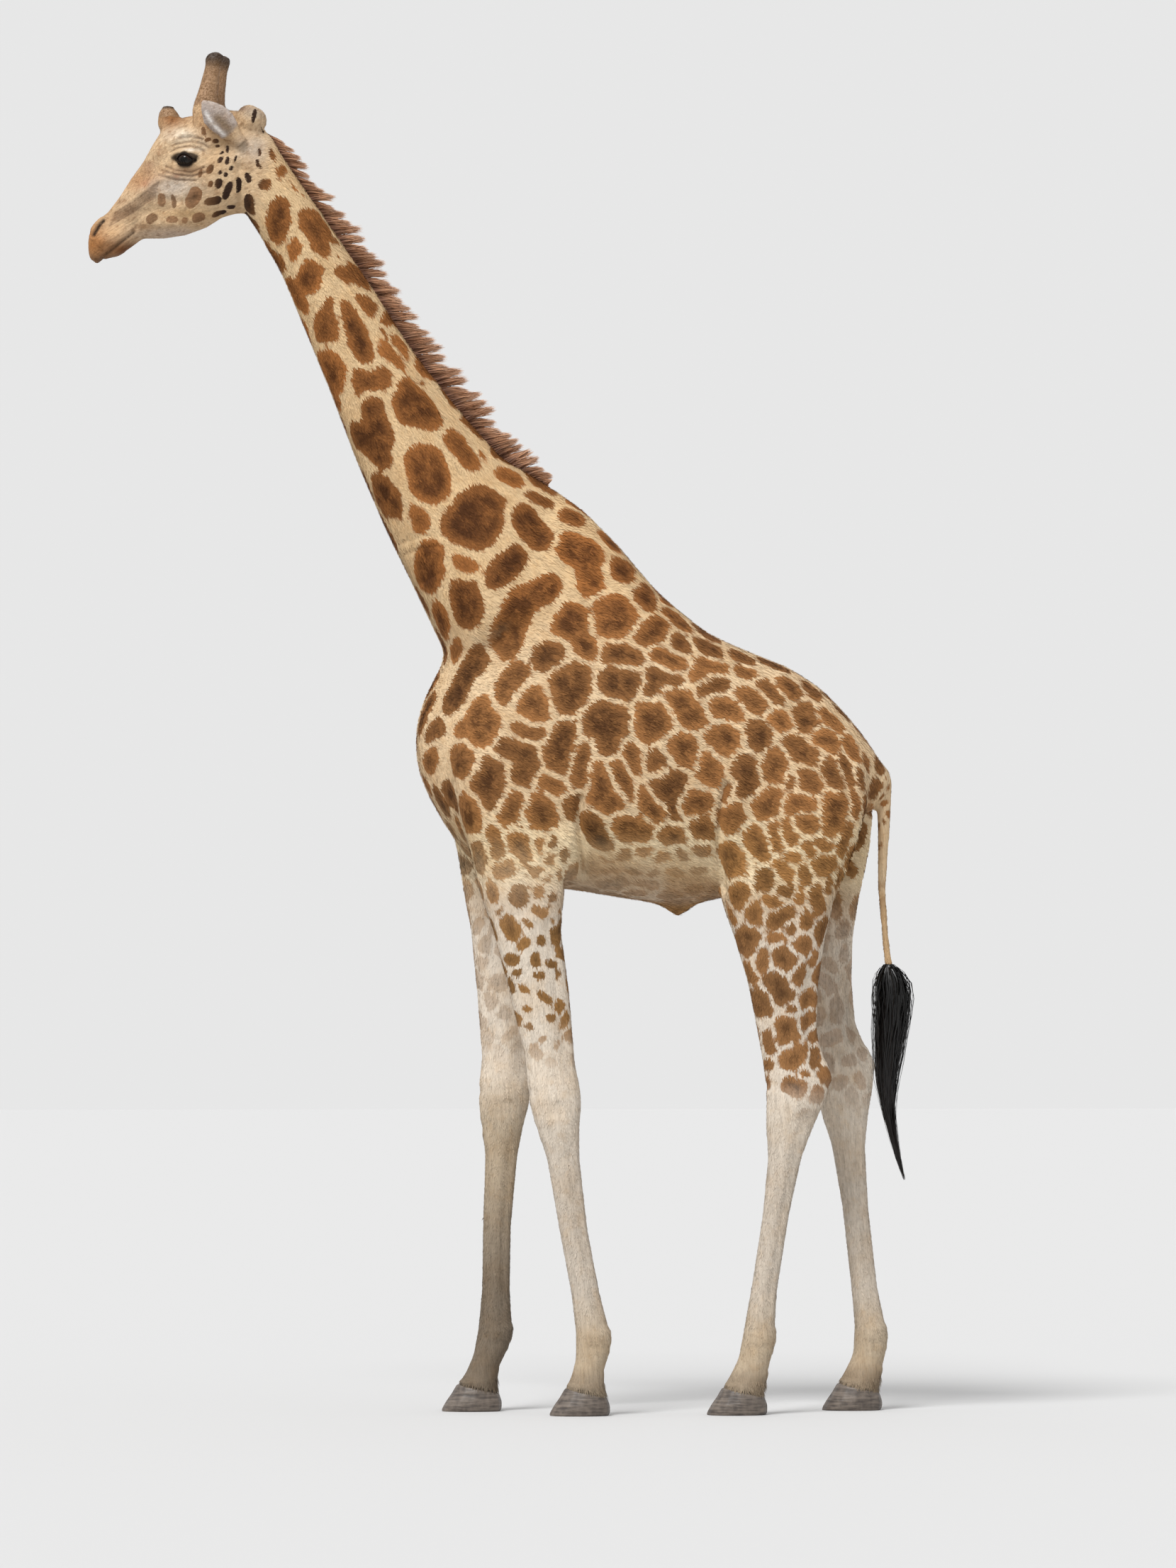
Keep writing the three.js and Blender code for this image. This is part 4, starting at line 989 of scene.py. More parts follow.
def patch_colours(points, shares, own, tone):
    x, _, z = points.T
    rear = step(0.5, 0.6, x)
    colour = layered(np.tile(PATCH_TRUNK, (len(points), 1)), [
        (PATCH_NECK, shares["neck"] + shares["trunk"] * step(2.4, 2.75, z)),
        (PATCH_LEG, shares["leg"] * rear),
        (PATCH_FORELEG, shares["leg"] * (1 - rear)),
        (PATCH_FACE, shares["head"] * step(-0.9, -0.97, own[:, 0])),
        (PATCH_JAW, shares["head"] * step(-0.97, -0.9, own[:, 0])),
        (PATCH_BELLY, 0.6 * step(2.05, 1.8, z) * shares["trunk"]),
    ])
    return colour * (0.78 + 0.44 * tone)[:, None]


def ground_colours(points, shares, under):
    """The colour between the patches, down to the hooves. The belly's tan takes painted shade where
    the skin faces down, and the far foreleg is darker with painted shade.
    """
    x, y, z = points.T
    rear = step(0.5, 0.6, x)
    shaded_far_fore = (1 - rear) * (y > 0) * (shares["head"] + shares["neck"] < 0.1)
    return layered(np.tile(GROUND_TRUNK, (len(points), 1)), [
        (GROUND_NECK, shares["neck"] + shares["trunk"] * step(2.4, 2.8, z)),
        (FLANK_COLOUR, 0.9 * step(2.02, 1.88, z) * shares["trunk"]),
        # The belly's tan with painted shade, on skin that faces down and along the trunk's lowest
        # edge.
        (BELLY_TAN_AND_SHADE, np.clip(under + 0.5 * step(1.75, 1.68, z), 0, 1)),
        (GROUND_LEG, shares["leg"]),
        (GROUND_FOOT, step(1.1, 0.7, z)),
        (PASTERN_COLOUR, 0.55 * step(0.45, 0.2, z)),
        (CORONET_COLOUR, 0.7 * step(0.17, 0.11, z)),
        # Painted shade on the far foreleg, deeper low down.
        (FAR_FORELEG_SHADE, 0.75 * shaded_far_fore * step(1.2, 0.9, z)),
        (FAR_FORELEG_DEEP_SHADE, 0.85 * shaded_far_fore * step(0.9, 0.35, z)),
        (GROUND_HEAD, shares["head"]),
    ])


def head_layers(own, share, ears):
    """The tints of the face, among them painted highlights and shade, and the ears."""
    x, z = own[:, 0], own[:, 2]
    flat = own[:, [0, 2]]
    for at_x, at_z, reach_x, reach_z, colour, strength in HEAD_TINTS_AND_PAINTED_LIGHT:
        near = np.exp(-(((x - at_x) / reach_x) ** 2) - ((z - at_z) / reach_z) ** 2)
        yield rgb(colour), strength * near * share
    yield EAR_COLOUR, ears
    yield EAR_HOLLOW, 0.88 * bell(line_distance(flat, EAR_STAIN), 0.021) * ears
    for line in EAR_EDGES:
        yield EAR_RIM, 0.9 * bell(line_distance(flat, line), 0.006) * ears


def dark_layers(points, normals, own, share, ears, inside_eye):
    """Painted shade in the nostrils, the mouth and the folds, dark skin and painted shadow round
    the eyes, and the horns.
    """
    flat = own[:, [0, 2]]
    # Painted shade inside the nostrils and along the mouth's crease.
    slit_shade = bell(line_distance(flat, NOSTRIL), 0.0072)
    slit_shade = slit_shade * step(0.1, 0.4, np.abs(normals[:, 1]))
    slit_shade = np.maximum(slit_shade, 0.6 * bell(line_distance(flat, MOUTH), MOUTH_REACH))
    yield DARK_SKIN_AND_SHADE, slit_shade * share
    # Painted shade in the folds of the muzzle and the lids.
    for line in [*muzzle_creases(), *LID_FOLDS]:
        crease_shade = bell(line_distance(flat, line), CREASE_REACH)
        yield CREASE_SHADE_COLOUR, CREASE_SHADE_SHARE * crease_shade * share * (1 - ears)
    # Dark skin round the eye's opening, and painted shadow along the upper lid.
    rim = step(0.015, 0.005, inside_eye) * (inside_eye < 0.5)
    lid = step(0.013, 0.004, line_distance(flat, DARK_LID_AND_SHADOW))
    yield DARK_SKIN_AND_SHADE, np.maximum(rim, 0.92 * lid * share * (1 - ears))
    horn, height = horn_share(points)
    yield HORN_COLOUR, horn
    yield HORN_TIP, 0.9 * horn * step(0.6, 0.92, height)


def coat_values(mesh, patches, inside_eye):
    """Everything that the skin's points tell the materials and the tufts."""
    points, normals = points_of(mesh), normals_of(mesh)
    shares, own, ears = region_shares(points), head_axes(points), ear_share(points)
    # under: the trunk's skin that faces down, where the ground takes painted shade and the patches
    # fade.
    head, under = shares["head"], step(-0.35, -0.8, normals[:, 2]) * shares["trunk"]
    gap = GAP * by_region(shares, GAP_SHARE)
    gap = gap * (1 - 0.25 * step(0.7, 0.95, points[:, 0]) * shares["trunk"])
    mark, heart, which = patch_values(wobbled(points), patches, gap)
    tone = rng.uniform(0, 1, len(patches))[which]
    patch = patch_colours(points, shares, own, tone)
    ground = ground_colours(points, shares, under)
    ground = layered(ground, head_layers(own, head, ears))
    ground = layered(ground, dark_layers(points, normals, own, head, ears, inside_eye))
    one = np.ones((len(points), 1))
    return {
        "mark": np.where(inside_eye < LID_SKIN, -0.05, mark),
        "heart": heart,
        "strength": mark_strength(points, normals, shares, own, ears, under),
        "patch": np.hstack([patch, one]),
        "ground": np.hstack([ground, one]),
        "region": np.stack([shares["neck"], shares["leg"] + shares["tail"], head], 1),
        "root": points,
        "tip": np.full(len(points), 0.35),
    }


# ---------- materials ----------


def new_material(name):
    material = bpy.data.materials.new(name)
    material.use_nodes = True
    tree = material.node_tree
    return material, tree, tree.nodes["Principled BSDF"].inputs


def add(tree, kind, inputs=None, **settings):
    """Adds a node. Its inputs are given as numbers or as other nodes' outputs."""
    node = tree.nodes.new(kind)
    for key, value in settings.items():
        setattr(node, key, value)
    for key, value in (inputs or {}).items():
        if isinstance(value, bpy.types.NodeSocket):
            tree.links.new(value, node.inputs[key])
        else:
            node.inputs[key].default_value = value
    return node.outputs


def calc(tree, operation, *values):
    return add(tree, "ShaderNodeMath", dict(enumerate(values)), operation=operation)[0]


def stored(tree, name, output="Fac"):
    return add(tree, "ShaderNodeAttribute", attribute_name=name)[output]


def colour_mix(tree, share, first, second, kind="MIX"):
    inputs = {0: share, 6: first, 7: second}
    return add(tree, "ShaderNodeMix", inputs, data_type="RGBA", blend_type=kind)[2]


def grain(tree, place, size, detail=3.0):
    inputs = {"Vector": place, "Scale": 1 / size, "Detail": detail}
    return add(tree, "ShaderNodeTexNoise", inputs)["Fac"]


def ramp(tree, value, low, high, to_low=0.0, to_high=1.0):
    inputs = {0: value, 1: low, 2: high, 3: to_low, 4: to_high}
    return add(tree, "ShaderNodeMapRange", inputs, interpolation_type="SMOOTHSTEP")[0]


def lit(tree, colour, light):
    """A colour made lighter or darker by a number."""
    value = add(tree, "ShaderNodeCombineXYZ", {0: light, 1: light, 2: light})[0]
    return colour_mix(tree, 1.0, colour, value, "MULTIPLY")


def dress(tree, shader, colour, bump=None, **numbers):
    """Gives the shader its colour, its bump as height, strength and depth, and its numbers."""
    tree.links.new(colour, shader["Base Color"])
    if bump:
        inputs = dict(zip(("Height", "Strength", "Distance"), bump))
        tree.links.new(add(tree, "ShaderNodeBump", inputs)[0], shader["Normal"])
    for name, number in numbers.items():
        shader[name.replace("_", " ")].default_value = number


# Which way the coat lies in each region.
LIE = {
    "neck": (0.55, 0, -0.83),
    "leg": (0.08, 0, -1.0),
    "head": (0.84, 0, 0.5),
    "trunk": (0.85, 0, -0.52),
    "tail": (0.0, 0, -1.0),
}
STREAK_LONG, STREAK_WIDE = 0.05, 0.0045  # streaks in the coat's colour and bump


def streaks(tree, place, size):
    """Noise drawn out along the lie of the coat, which differs between regions."""
    split = add(tree, "ShaderNodeSeparateXYZ", {0: stored(tree, "region", "Vector")})
    shares = {"neck": split[0], "leg": split[1], "head": split[2]}
    rest = 1.0
    for share in split:
        rest = calc(tree, "SUBTRACT", rest, share)
    shares["trunk"] = rest
    total = 0.0
    for name, share in shares.items():
        x, _, z = LIE[name]
        inputs = {
            "Vector": place,
            "Rotation": (0, np.arctan2(-z, x), 0),
            "Scale": (size * STREAK_LONG, size * STREAK_WIDE, size * STREAK_WIDE),
        }
        turned = add(tree, "ShaderNodeMapping", inputs, vector_type="TEXTURE")[0]
        wave = add(tree, "ShaderNodeTexNoise", {"Vector": turned, "Scale": 1.0})["Fac"]
        total = calc(tree, "MULTIPLY_ADD", wave, share, total)
    return total


def coat_material():
    material, tree, shader = new_material("giraffe_coat")
    root = stored(tree, "root", "Vector")
    hairs, locks = streaks(tree, root, 1.0), streaks(tree, root, 2.6)
    toward = stored(tree, "heart", "Vector")
    ray_place = add(tree, "ShaderNodeVectorMath", {0: toward}, operation="NORMALIZE")[0]
    rays = grain(tree, ray_place, 0.16)
    edge = 0.0
    for wave, reach in ((grain(tree, root, 0.02), 0.012), (rays, 0.009), (hairs, 0.006)):
        edge = calc(tree, "ADD", edge, calc(tree, "MULTIPLY_ADD", wave, reach, -reach / 2))
    head = add(tree, "ShaderNodeSeparateXYZ", {0: stored(tree, "region", "Vector")})[2]
    edge = calc(tree, "MULTIPLY", edge, calc(tree, "MULTIPLY_ADD", head, -0.6, 1.0))
    inside = calc(tree, "ADD", stored(tree, "mark"), edge)
    sharp = calc(tree, "MULTIPLY", inside, calc(tree, "MULTIPLY_ADD", head, 1.2, 1.0))
    share = calc(tree, "MULTIPLY", ramp(tree, sharp, -0.003, 0.003), stored(tree, "strength"))
    spread = calc(tree, "MULTIPLY", rays, 0.4)
    mottle = calc(tree, "MULTIPLY_ADD", grain(tree, root, 0.045), 0.6, spread)
    deep = calc(tree, "MULTIPLY", ramp(tree, inside, 0.002, 0.04), ramp(tree, mottle, 0.3, 0.6))
    patch = stored(tree, "patch", "Color")
    core = colour_mix(tree, 1.0, patch, (0.3, 0.27, 0.24, 1), "MULTIPLY")
    patch = colour_mix(tree, deep, patch, core)
    ground = stored(tree, "ground", "Color")
    warm = colour_mix(tree, 1.0, ground, (0.86, 0.74, 0.6, 1), "MULTIPLY")
    for size, low, most in ((0.09, 0.4, 0.45), (0.03, 0.5, 0.4)):
        stain = ramp(tree, grain(tree, root, size), low, 0.75, 0.0, most)
        ground = colour_mix(tree, stain, ground, warm)
    grey = colour_mix(tree, 1.0, ground, (0.66, 0.58, 0.52, 1), "MULTIPLY")
    fleck = calc(tree, "MULTIPLY", ramp(tree, grain(tree, root, 0.016), 0.52, 0.7), head)
    ground = colour_mix(tree, calc(tree, "MULTIPLY", fleck, 0.75), ground, grey)
    colour = colour_mix(tree, share, ground, patch)
    light = calc(tree, "MULTIPLY_ADD", hairs, 0.5, 0.41)
    light = calc(tree, "MULTIPLY_ADD", locks, 0.28, light)
    light = calc(tree, "MULTIPLY_ADD", stored(tree, "tip"), 0.12, light)
    bump = (calc(tree, "MULTIPLY_ADD", locks, 1.5, hairs), 0.55, 0.003)
    colour = lit(tree, colour, light)
    dress(tree, shader, colour, bump, Roughness=0.8, Specular_IOR_Level=0.15)
    return material


def horn_material():
    material, tree, shader = new_material("giraffe_horn")
    root = stored(tree, "root", "Vector")
    lumps, fine = grain(tree, root, 0.012), grain(tree, root, 0.003)
    light = calc(tree, "MULTIPLY_ADD", lumps, 0.5, 0.75)
    bump = (calc(tree, "MULTIPLY_ADD", fine, 0.3, lumps), 0.5, 0.004)
    colour = lit(tree, stored(tree, "ground", "Color"), light)
    dress(tree, shader, colour, bump, Roughness=0.62)
    return material


def hoof_material():
    material, tree, shader = new_material("giraffe_hoof")
    place = add(tree, "ShaderNodeTexCoord")["Object"]
    bands = add(tree, "ShaderNodeMapping", {"Vector": place, "Scale": (14, 14, 130)})[0]
    rings = add(tree, "ShaderNodeTexNoise", {"Vector": bands, "Scale": 1.0})["Fac"]
    worn = grain(tree, place, 0.02)
    tint = calc(tree, "MULTIPLY_ADD", rings, 0.6, calc(tree, "MULTIPLY", worn, 0.4))
    pale, dark = (*rgb("6f645a"), 1), (*rgb("3a322d"), 1)
    colour = colour_mix(tree, ramp(tree, tint, 0.3, 0.7), dark, pale)
    dress(tree, shader, colour, (rings, 0.5, 0.003), Roughness=0.5)
    return material


def hair_material(name, low, middle, high, roughness):
    """Long hair, from its root's colour over the middle's to the tip's."""
    material, tree, shader = new_material(name)
    tip = stored(tree, "tip")
    colour = colour_mix(tree, ramp(tree, tip, 0.1, 0.5), (*low, 1), (*middle, 1))
    colour = colour_mix(tree, ramp(tree, tip, 0.5, 1.0), colour, (*high, 1))
    light = calc(tree, "MULTIPLY_ADD", stored(tree, "tone"), 0.6, 0.7)
    colour = lit(tree, colour, light)
    dress(tree, shader, colour, Roughness=roughness, Specular_IOR_Level=0.35)
    return material


def eye_material():
    """Dark brown, with a wide black pupil and a darker edge."""
    material, tree, shader = new_material("giraffe_eye")
    rim = stored(tree, "iris")
    place = add(tree, "ShaderNodeTexCoord")["Object"]
    brown = (*rgb("26140b"), 1)
    fleck = colour_mix(tree, grain(tree, place, 0.002), brown, (*rgb("120905"), 1))
    colour = colour_mix(tree, ramp(tree, rim, 0.42, 0.5), (0.002, 0.002, 0.002, 1), fleck)
    colour = colour_mix(tree, ramp(tree, rim, 0.85, 1.0), colour, (*rgb("120b08"), 1))
    dress(
        tree, shader, colour,
        Roughness=0.12, Specular_IOR_Level=0.12, Coat_Weight=0.18, Coat_Roughness=0.03,
    )
    return material


def floor_material():
    material, _, shader = new_material("studio_floor")
    shader["Base Color"].default_value = (FLOOR_ALBEDO, FLOOR_ALBEDO, FLOOR_ALBEDO, 1)
    shader["Roughness"].default_value = 0.9
    return material


# ---------- skin piece ----------

# The edge length wanted for the skin in each region, then round the eyes and on the feet.
SPACING = {"trunk": 0.0115, "neck": 0.0125, "leg": 0.0115, "head": 0.0042, "tail": 0.007}
SPACING_EYE = 0.0022
SPACING_FOOT, FINE_FOOT_TOP = 0.008, 0.3
KEEP_SCALE = 0.0015  # where so small a spacing is wanted, nothing is thinned


def thinned(mesh, inside_eye):
    """Fewer triangles, at a spacing that suits each region."""
    points = points_of(mesh)
    spacing = by_region(region_shares(points), SPACING)
    low = points[:, 2] < FINE_FOOT_TOP
    spacing = np.where(low, np.minimum(spacing, SPACING_FOOT), spacing)
    spacing = np.where(inside_eye < LID_SKIN, SPACING_EYE, spacing)
    keep = np.round(1 - KEEP_SCALE / spacing, 2)
    ratio = SKIN_TRIANGLES / len(triangles_of(mesh))
    kept = {"vertex_group": "keep", "vertex_group_factor": 1.0}
    return with_modifier(mesh, "DECIMATE", keep, ratio=ratio, **kept)


def skin_mesh():
    mesh = bridged_skin()
    smooth_skin(mesh)
    points, normals = points_of(mesh), normals_of(mesh)
    rise = rise_of_body(points, normals) + rise_of_head(points, normals) + rise_of_legs(points)
    points, inside_eye = open_eyes(points + normals * rise[:, None])
    put_points(mesh, points)
    put_value(mesh, "inside_eye", inside_eye)
    mesh = thinned(mesh, inside_eye)
    inside_eye = value_of(mesh, "inside_eye")[:, 0].astype(float)
    mesh.attributes.remove(mesh.attributes["inside_eye"])
    return mesh, inside_eye


def unwrap(piece):
    """Unwraps the skin by its own shape."""
    bpy.context.view_layer.objects.active = piece
    piece.select_set(True)
    piece.data.uv_layers.new(name="OFBake")
    bpy.ops.object.mode_set(mode="EDIT")
    bpy.ops.mesh.select_all(action="SELECT")
    bpy.ops.uv.smart_project(angle_limit=1.15, island_margin=0.002)
    bpy.ops.object.mode_set(mode="OBJECT")
    piece.select_set(False)


def copy_faces(source, target, zone, within):
    """Copies the faces that lie wholly within a zone, or else all the others."""
    bm = bmesh_of(source)
    bm.verts.ensure_lookup_table()
    gone = [f for f in bm.faces if all(zone[v.index] for v in f.verts) != within]
    bmesh.ops.delete(bm, geom=gone, context="FACES")
    bm.to_mesh(target)
    bm.free()


def split_horns(piece, horn_finish):
    """Takes the skin of the three horns off as pieces of their own."""
    horn, _ = horn_share(points_of(piece.data))
    x, y, _ = (head_axes(points_of(piece.data)) - HEAD_ZERO).T
    front = (horn > 0) & (x < FRONT_HORN_BACK)
    rear = (horn > 0) & (x > FRONT_HORN_BACK)
    zones = {
        "ossicone_left": rear & (y < -HORN_PARTING),
        "ossicone_right": rear & (y > HORN_PARTING),
        "ossicone_front": front,
    }
    for name, zone in zones.items():
        mesh = bpy.data.meshes.new(name)
        copy_faces(piece.data, mesh, zone, True)
        finish_piece(new_object("horn_" + name, mesh, horn_finish), "horn_skin", name)
    copy_faces(piece.data, piece.data, np.any(list(zones.values()), axis=0), False)


def finish_piece(piece, slot, *nodes):
    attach(piece, "root")
    if nodes:
        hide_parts(*nodes)
    return piece


# ---------- coat: tufts ----------

# How many tufts each coat piece has.
TUFT_PIECES = {
    "coat_head": 66_000,
    "coat_neck": 52_000,
    "coat_trunk_left": 42_000,
    "coat_trunk_right": 42_000,
    "coat_legs_front": 26_000,
    "coat_legs_hind": 34_000,
}
TUFT_LONG = {"trunk": 0.0155, "neck": 0.0145, "leg": 0.0115, "head": 0.0062, "tail": 0.012}
TUFT_WIDE = {"trunk": 0.0038, "neck": 0.0035, "leg": 0.003, "head": 0.0012, "tail": 0.003}
TUFT_RISE = {"trunk": 0.0032, "neck": 0.0030, "leg": 0.0017, "head": 0.0012, "tail": 0.0012}
UV_PATCH = 0.003
TUFT_SINK = 0.0006  # how deep each tuft is rooted in the skin
FRINGE_TOP, FRINGE_DENSE = 0.118, 5  # hair that hangs over the top of the hooves
BARE_LID, BARE_NOSTRIL, BARE_LIPS = 0.004, 0.009, 0.005  # no tufts within these distances
BARE_HORN = 0.95  # share of a horn's height that bears tufts
LEGS_PART = 0.53  # x between the forelegs' and the hind legs' coat


def lie_of(points, normals, shares):
    """Which way the coat lies at each point, along the skin."""
    flow = sum(shares[name][:, None] * np.array(way) for name, way in LIE.items())
    flow[:, 1] += 0.25 * np.sign(points[:, 1]) * (shares["trunk"] + shares["neck"])
    sway = np.array([noise.noise_vector(Vector(p) * 6) for p in points])
    flow = flow + 0.3 * sway + rng.normal(0, 0.11, points.shape)
    flow -= normals * (flow * normals).sum(1)[:, None]
    return unit(flow)


def tuft_region(name, points, shares):
    x, y, _ = points.T
    limbs = np.maximum(shares["leg"], shares["tail"]) >= 0.5
    trunk = (shares["head"] + shares["neck"] < 0.5) & ~limbs
    return {
        "coat_head": shares["head"] >= 0.5,
        "coat_neck": shares["neck"] >= 0.5,
        "coat_trunk_left": trunk & (y < 0),
        "coat_trunk_right": trunk & (y >= 0),
        "coat_legs_front": limbs & (x < LEGS_PART),
        "coat_legs_hind": limbs & (x >= LEGS_PART),
    }[name]


def fringe_share(points):
    return step(FRINGE_TOP, FRINGE_TOP - 0.01, points[:, 2])


def root_odds(name, mesh, near_eye):
    """How likely each triangle of the skin is to bear a tuft of a piece."""
    points, triangles = points_of(mesh), triangles_of(mesh)
    middles = points[triangles].mean(1)
    shares = region_shares(middles)
    a, b, c = points[triangles].transpose(1, 0, 2)
    area = np.linalg.norm(np.cross(b - a, c - a), axis=1)
    flat = head_axes(middles)[:, [0, 2]]
    slit = line_distance(flat, NOSTRIL) < BARE_NOSTRIL
    lips = line_distance(flat, MOUTH) < BARE_LIPS
    horn, height = horn_share(middles)
    bare = (near_eye < BARE_LID) | ((slit | lips) & (shares["head"] > 0.5))
    bare = bare | (horn * height > BARE_HORN)
    weight = area * tuft_region(name, middles, shares) * ~bare
    weight = weight * (1 + step(0.05, 0.01, near_eye))
    weight = weight * (1 + FRINGE_DENSE * fringe_share(middles))
    return weight / weight.sum()


def blended(values, share):
    """Values at places within triangles, from those at their three corners."""
    return (values * share[:, :, None]).sum(1)


def blades(roots, up, near_eye, count):
    """The five points of each tuft: two at the foot, two half way up, and the tip."""
    shares = region_shares(roots)
    small = 1 - 0.45 * step(0.04, 0.006, near_eye)
    small = small * (1 - 0.3 * step(-1.2, -1.26, head_axes(roots)[:, 0]) * shares["head"])
    small = small * (1 - 0.45 * step(0.3, 0.12, roots[:, 2]))
    size = small * rng.uniform(0.7, 1.25, count)
    along = lie_of(roots, up, shares)
    fringe = fringe_share(roots)[:, None]
    hanging = unit(up * (0.3, 0.3, 0) + (0, 0, -1.0) + rng.normal(0, 0.07, up.shape))
    along = unit(along * (1 - fringe) + hanging * fringe)
    side = np.cross(up, along)
    length = (by_region(shares, TUFT_LONG) * size)[:, None] * (1 + 2.2 * fringe)
    width = (by_region(shares, TUFT_WIDE) * size)[:, None]
    rise = (by_region(shares, TUFT_RISE) * small * rng.uniform(0.5, 1.3, count))[:, None]
    bend = side * length * rng.normal(0, 0.09, (count, 1))
    foot = roots - up * TUFT_SINK
    half = roots + along * length * 0.5 + up * rise * 0.8
    tip = roots + along * length + up * rise * 0.75 + bend
    foot_edge, half_edge = side * width / 2, side * width * 0.42
    edges = [foot - foot_edge, foot + foot_edge, half - half_edge, half + half_edge, tip]
    return np.stack(edges, 1)


def build_tufts(name, count, mesh, inside_eye, finish):
    """A coat piece of blades of three triangles, each rooted in the skin."""
    triangles, loops = triangles_of(mesh), triangles_of(mesh, "loops")
    near_eye = inside_eye[triangles].min(1)
    chosen = rng.choice(len(triangles), count, p=root_odds(name, mesh, near_eye))
    share = rng.dirichlet((1, 1, 1), count)
    corners = triangles[chosen]
    roots = blended(points_of(mesh)[corners], share)
    up = unit(blended(normals_of(mesh)[corners], share))
    skin_uv = values_of(mesh.uv_layers["OFBake"].data, "uv", 2)
    uv = blended(skin_uv[loops[chosen]], share)
    blade = blades(roots, up, near_eye[chosen], count)
    order = np.array([[0, 1, 3], [0, 3, 2], [2, 3, 4]])
    faces = (np.arange(count)[:, None, None] * 5 + order).reshape(-1, 3)
    made = new_mesh(name, blade.reshape(-1, 3), faces)
    for key in ("mark", "heart", "strength", "patch", "ground", "region"):
        values = blended(value_of(mesh, key)[corners], share)
        values = values[:, 0] if values.shape[1] == 1 else values
        put_value(made, key, np.repeat(values, 5, axis=0))
    put_value(made, "root", np.repeat(roots, 5, axis=0))
    tips = np.tile([0, 0, 0.5, 0.5, 1.0], count) + np.repeat(rng.normal(0, 0.35, count), 5)
    put_value(made, "tip", tips)
    offsets = np.array([[-0.3, -0.5], [0.3, -0.5], [-0.25, 0], [0.25, 0], [0, 0.5]]) * UV_PATCH
    places = (uv[:, None] + offsets).reshape(-1, 2)[faces.ravel()]
    layer = made.uv_layers.new(name="OFBake")
    layer.data.foreach_set("uv", places.astype(np.float32).ravel())
    shade_smooth(made)
    return finish_piece(new_object(name, made, finish), "coat")


# ---------- long hair ----------

MANE_LINE = [
    (-0.765, 4.226), (-0.666, 4.072), (-0.529, 3.876), (-0.407, 3.7),
    (-0.292, 3.517), (-0.132, 3.312), (0.013, 3.147), (0.158, 3.057),
]
MANE_HAIRS = 14000
MANE_LOCK = 0.034  # length of neck that one lock of the mane covers
MANE_HALF = 0.012
MANE_SINK = 0.003  # how deep its hairs are rooted in the skin
MANE_LONG = [
    (0, 0.014), (0.06, 0.03), (0.15, 0.042), (0.3, 0.06), (0.5, 0.064),
    (0.85, 0.062), (0.94, 0.05), (1, 0.02),
]
SWITCH_HAIRS, SWITCH_STRAYS = 2200, 0.08  # strays: the share of hairs that stick out
SWITCH_DEPTH = 0.72  # its breadth across the animal, as a share of that in the side view
# The switch of the tail: height, the middle's x, and half its breadth.
SWITCH_FORM = [
    (1.478, 1.283, 0.012), (1.455, 1.287, 0.034), (1.43, 1.292, 0.046), (1.38, 1.296, 0.053),
    (1.3, 1.293, 0.051), (1.2, 1.283, 0.043), (1.1, 1.276, 0.033), (1.0, 1.281, 0.02),
    (0.9, 1.3, 0.011), (0.8, 1.325, 0.005), (0.765, 1.336, 0.001),
]
LASHES, LASH_LONG, LASH_WIDE = 150, 0.023, 0.0011


def along_line(line, share):
    """Points at shares of a line's length, and its direction there."""
    line = np.array(line)
    pace = np.linalg.norm(np.diff(line, axis=0), axis=1)
    reached = np.concatenate([[0], np.cumsum(pace)]) / pace.sum()
    at, behind, ahead = (
        np.stack([np.interp(place, reached, axis) for axis in line.T], 1)
        for place in (share, np.clip(share - 0.02, 0, 1), np.clip(share + 0.02, 0, 1))
    )
    return at, unit(ahead - behind)


def hair_mesh(name, spines, widths, sides, tones):
    """Flat hairs along spines: an array of hairs by places along each by three."""
    count, places = spines.shape[:2]
    taper = np.interp(np.linspace(0, 1, places), [0, 0.5, 1], [1, 0.85, 0.12])
    offset = sides[:, None] * (widths[:, None] * taper / 2)[:, :, None]
    both = np.stack([spines - offset, spines + offset], 2)
    quad = np.array([[0, 1, 3], [0, 3, 2]])
    order = np.concatenate([quad + 2 * k for k in range(places - 1)])
    faces = (np.arange(count)[:, None, None] * places * 2 + order).reshape(-1, 3)
    mesh = new_mesh(name, both.reshape(-1, 3), faces)
    put_value(mesh, "tip", np.tile(np.repeat(np.linspace(0, 1, places), 2), count))
    put_value(mesh, "tone", np.repeat(tones, places * 2))
    shade_smooth(mesh)
    return mesh


def curved(start, away, fall, length, bends):
    """Spines that leave along away and turn towards fall."""
    share = np.linspace(0, 1, bends)[None, :, None]
    length = length[:, None, None]
    return start[:, None] + length * (away[:, None] * share + fall[:, None] * share**2)


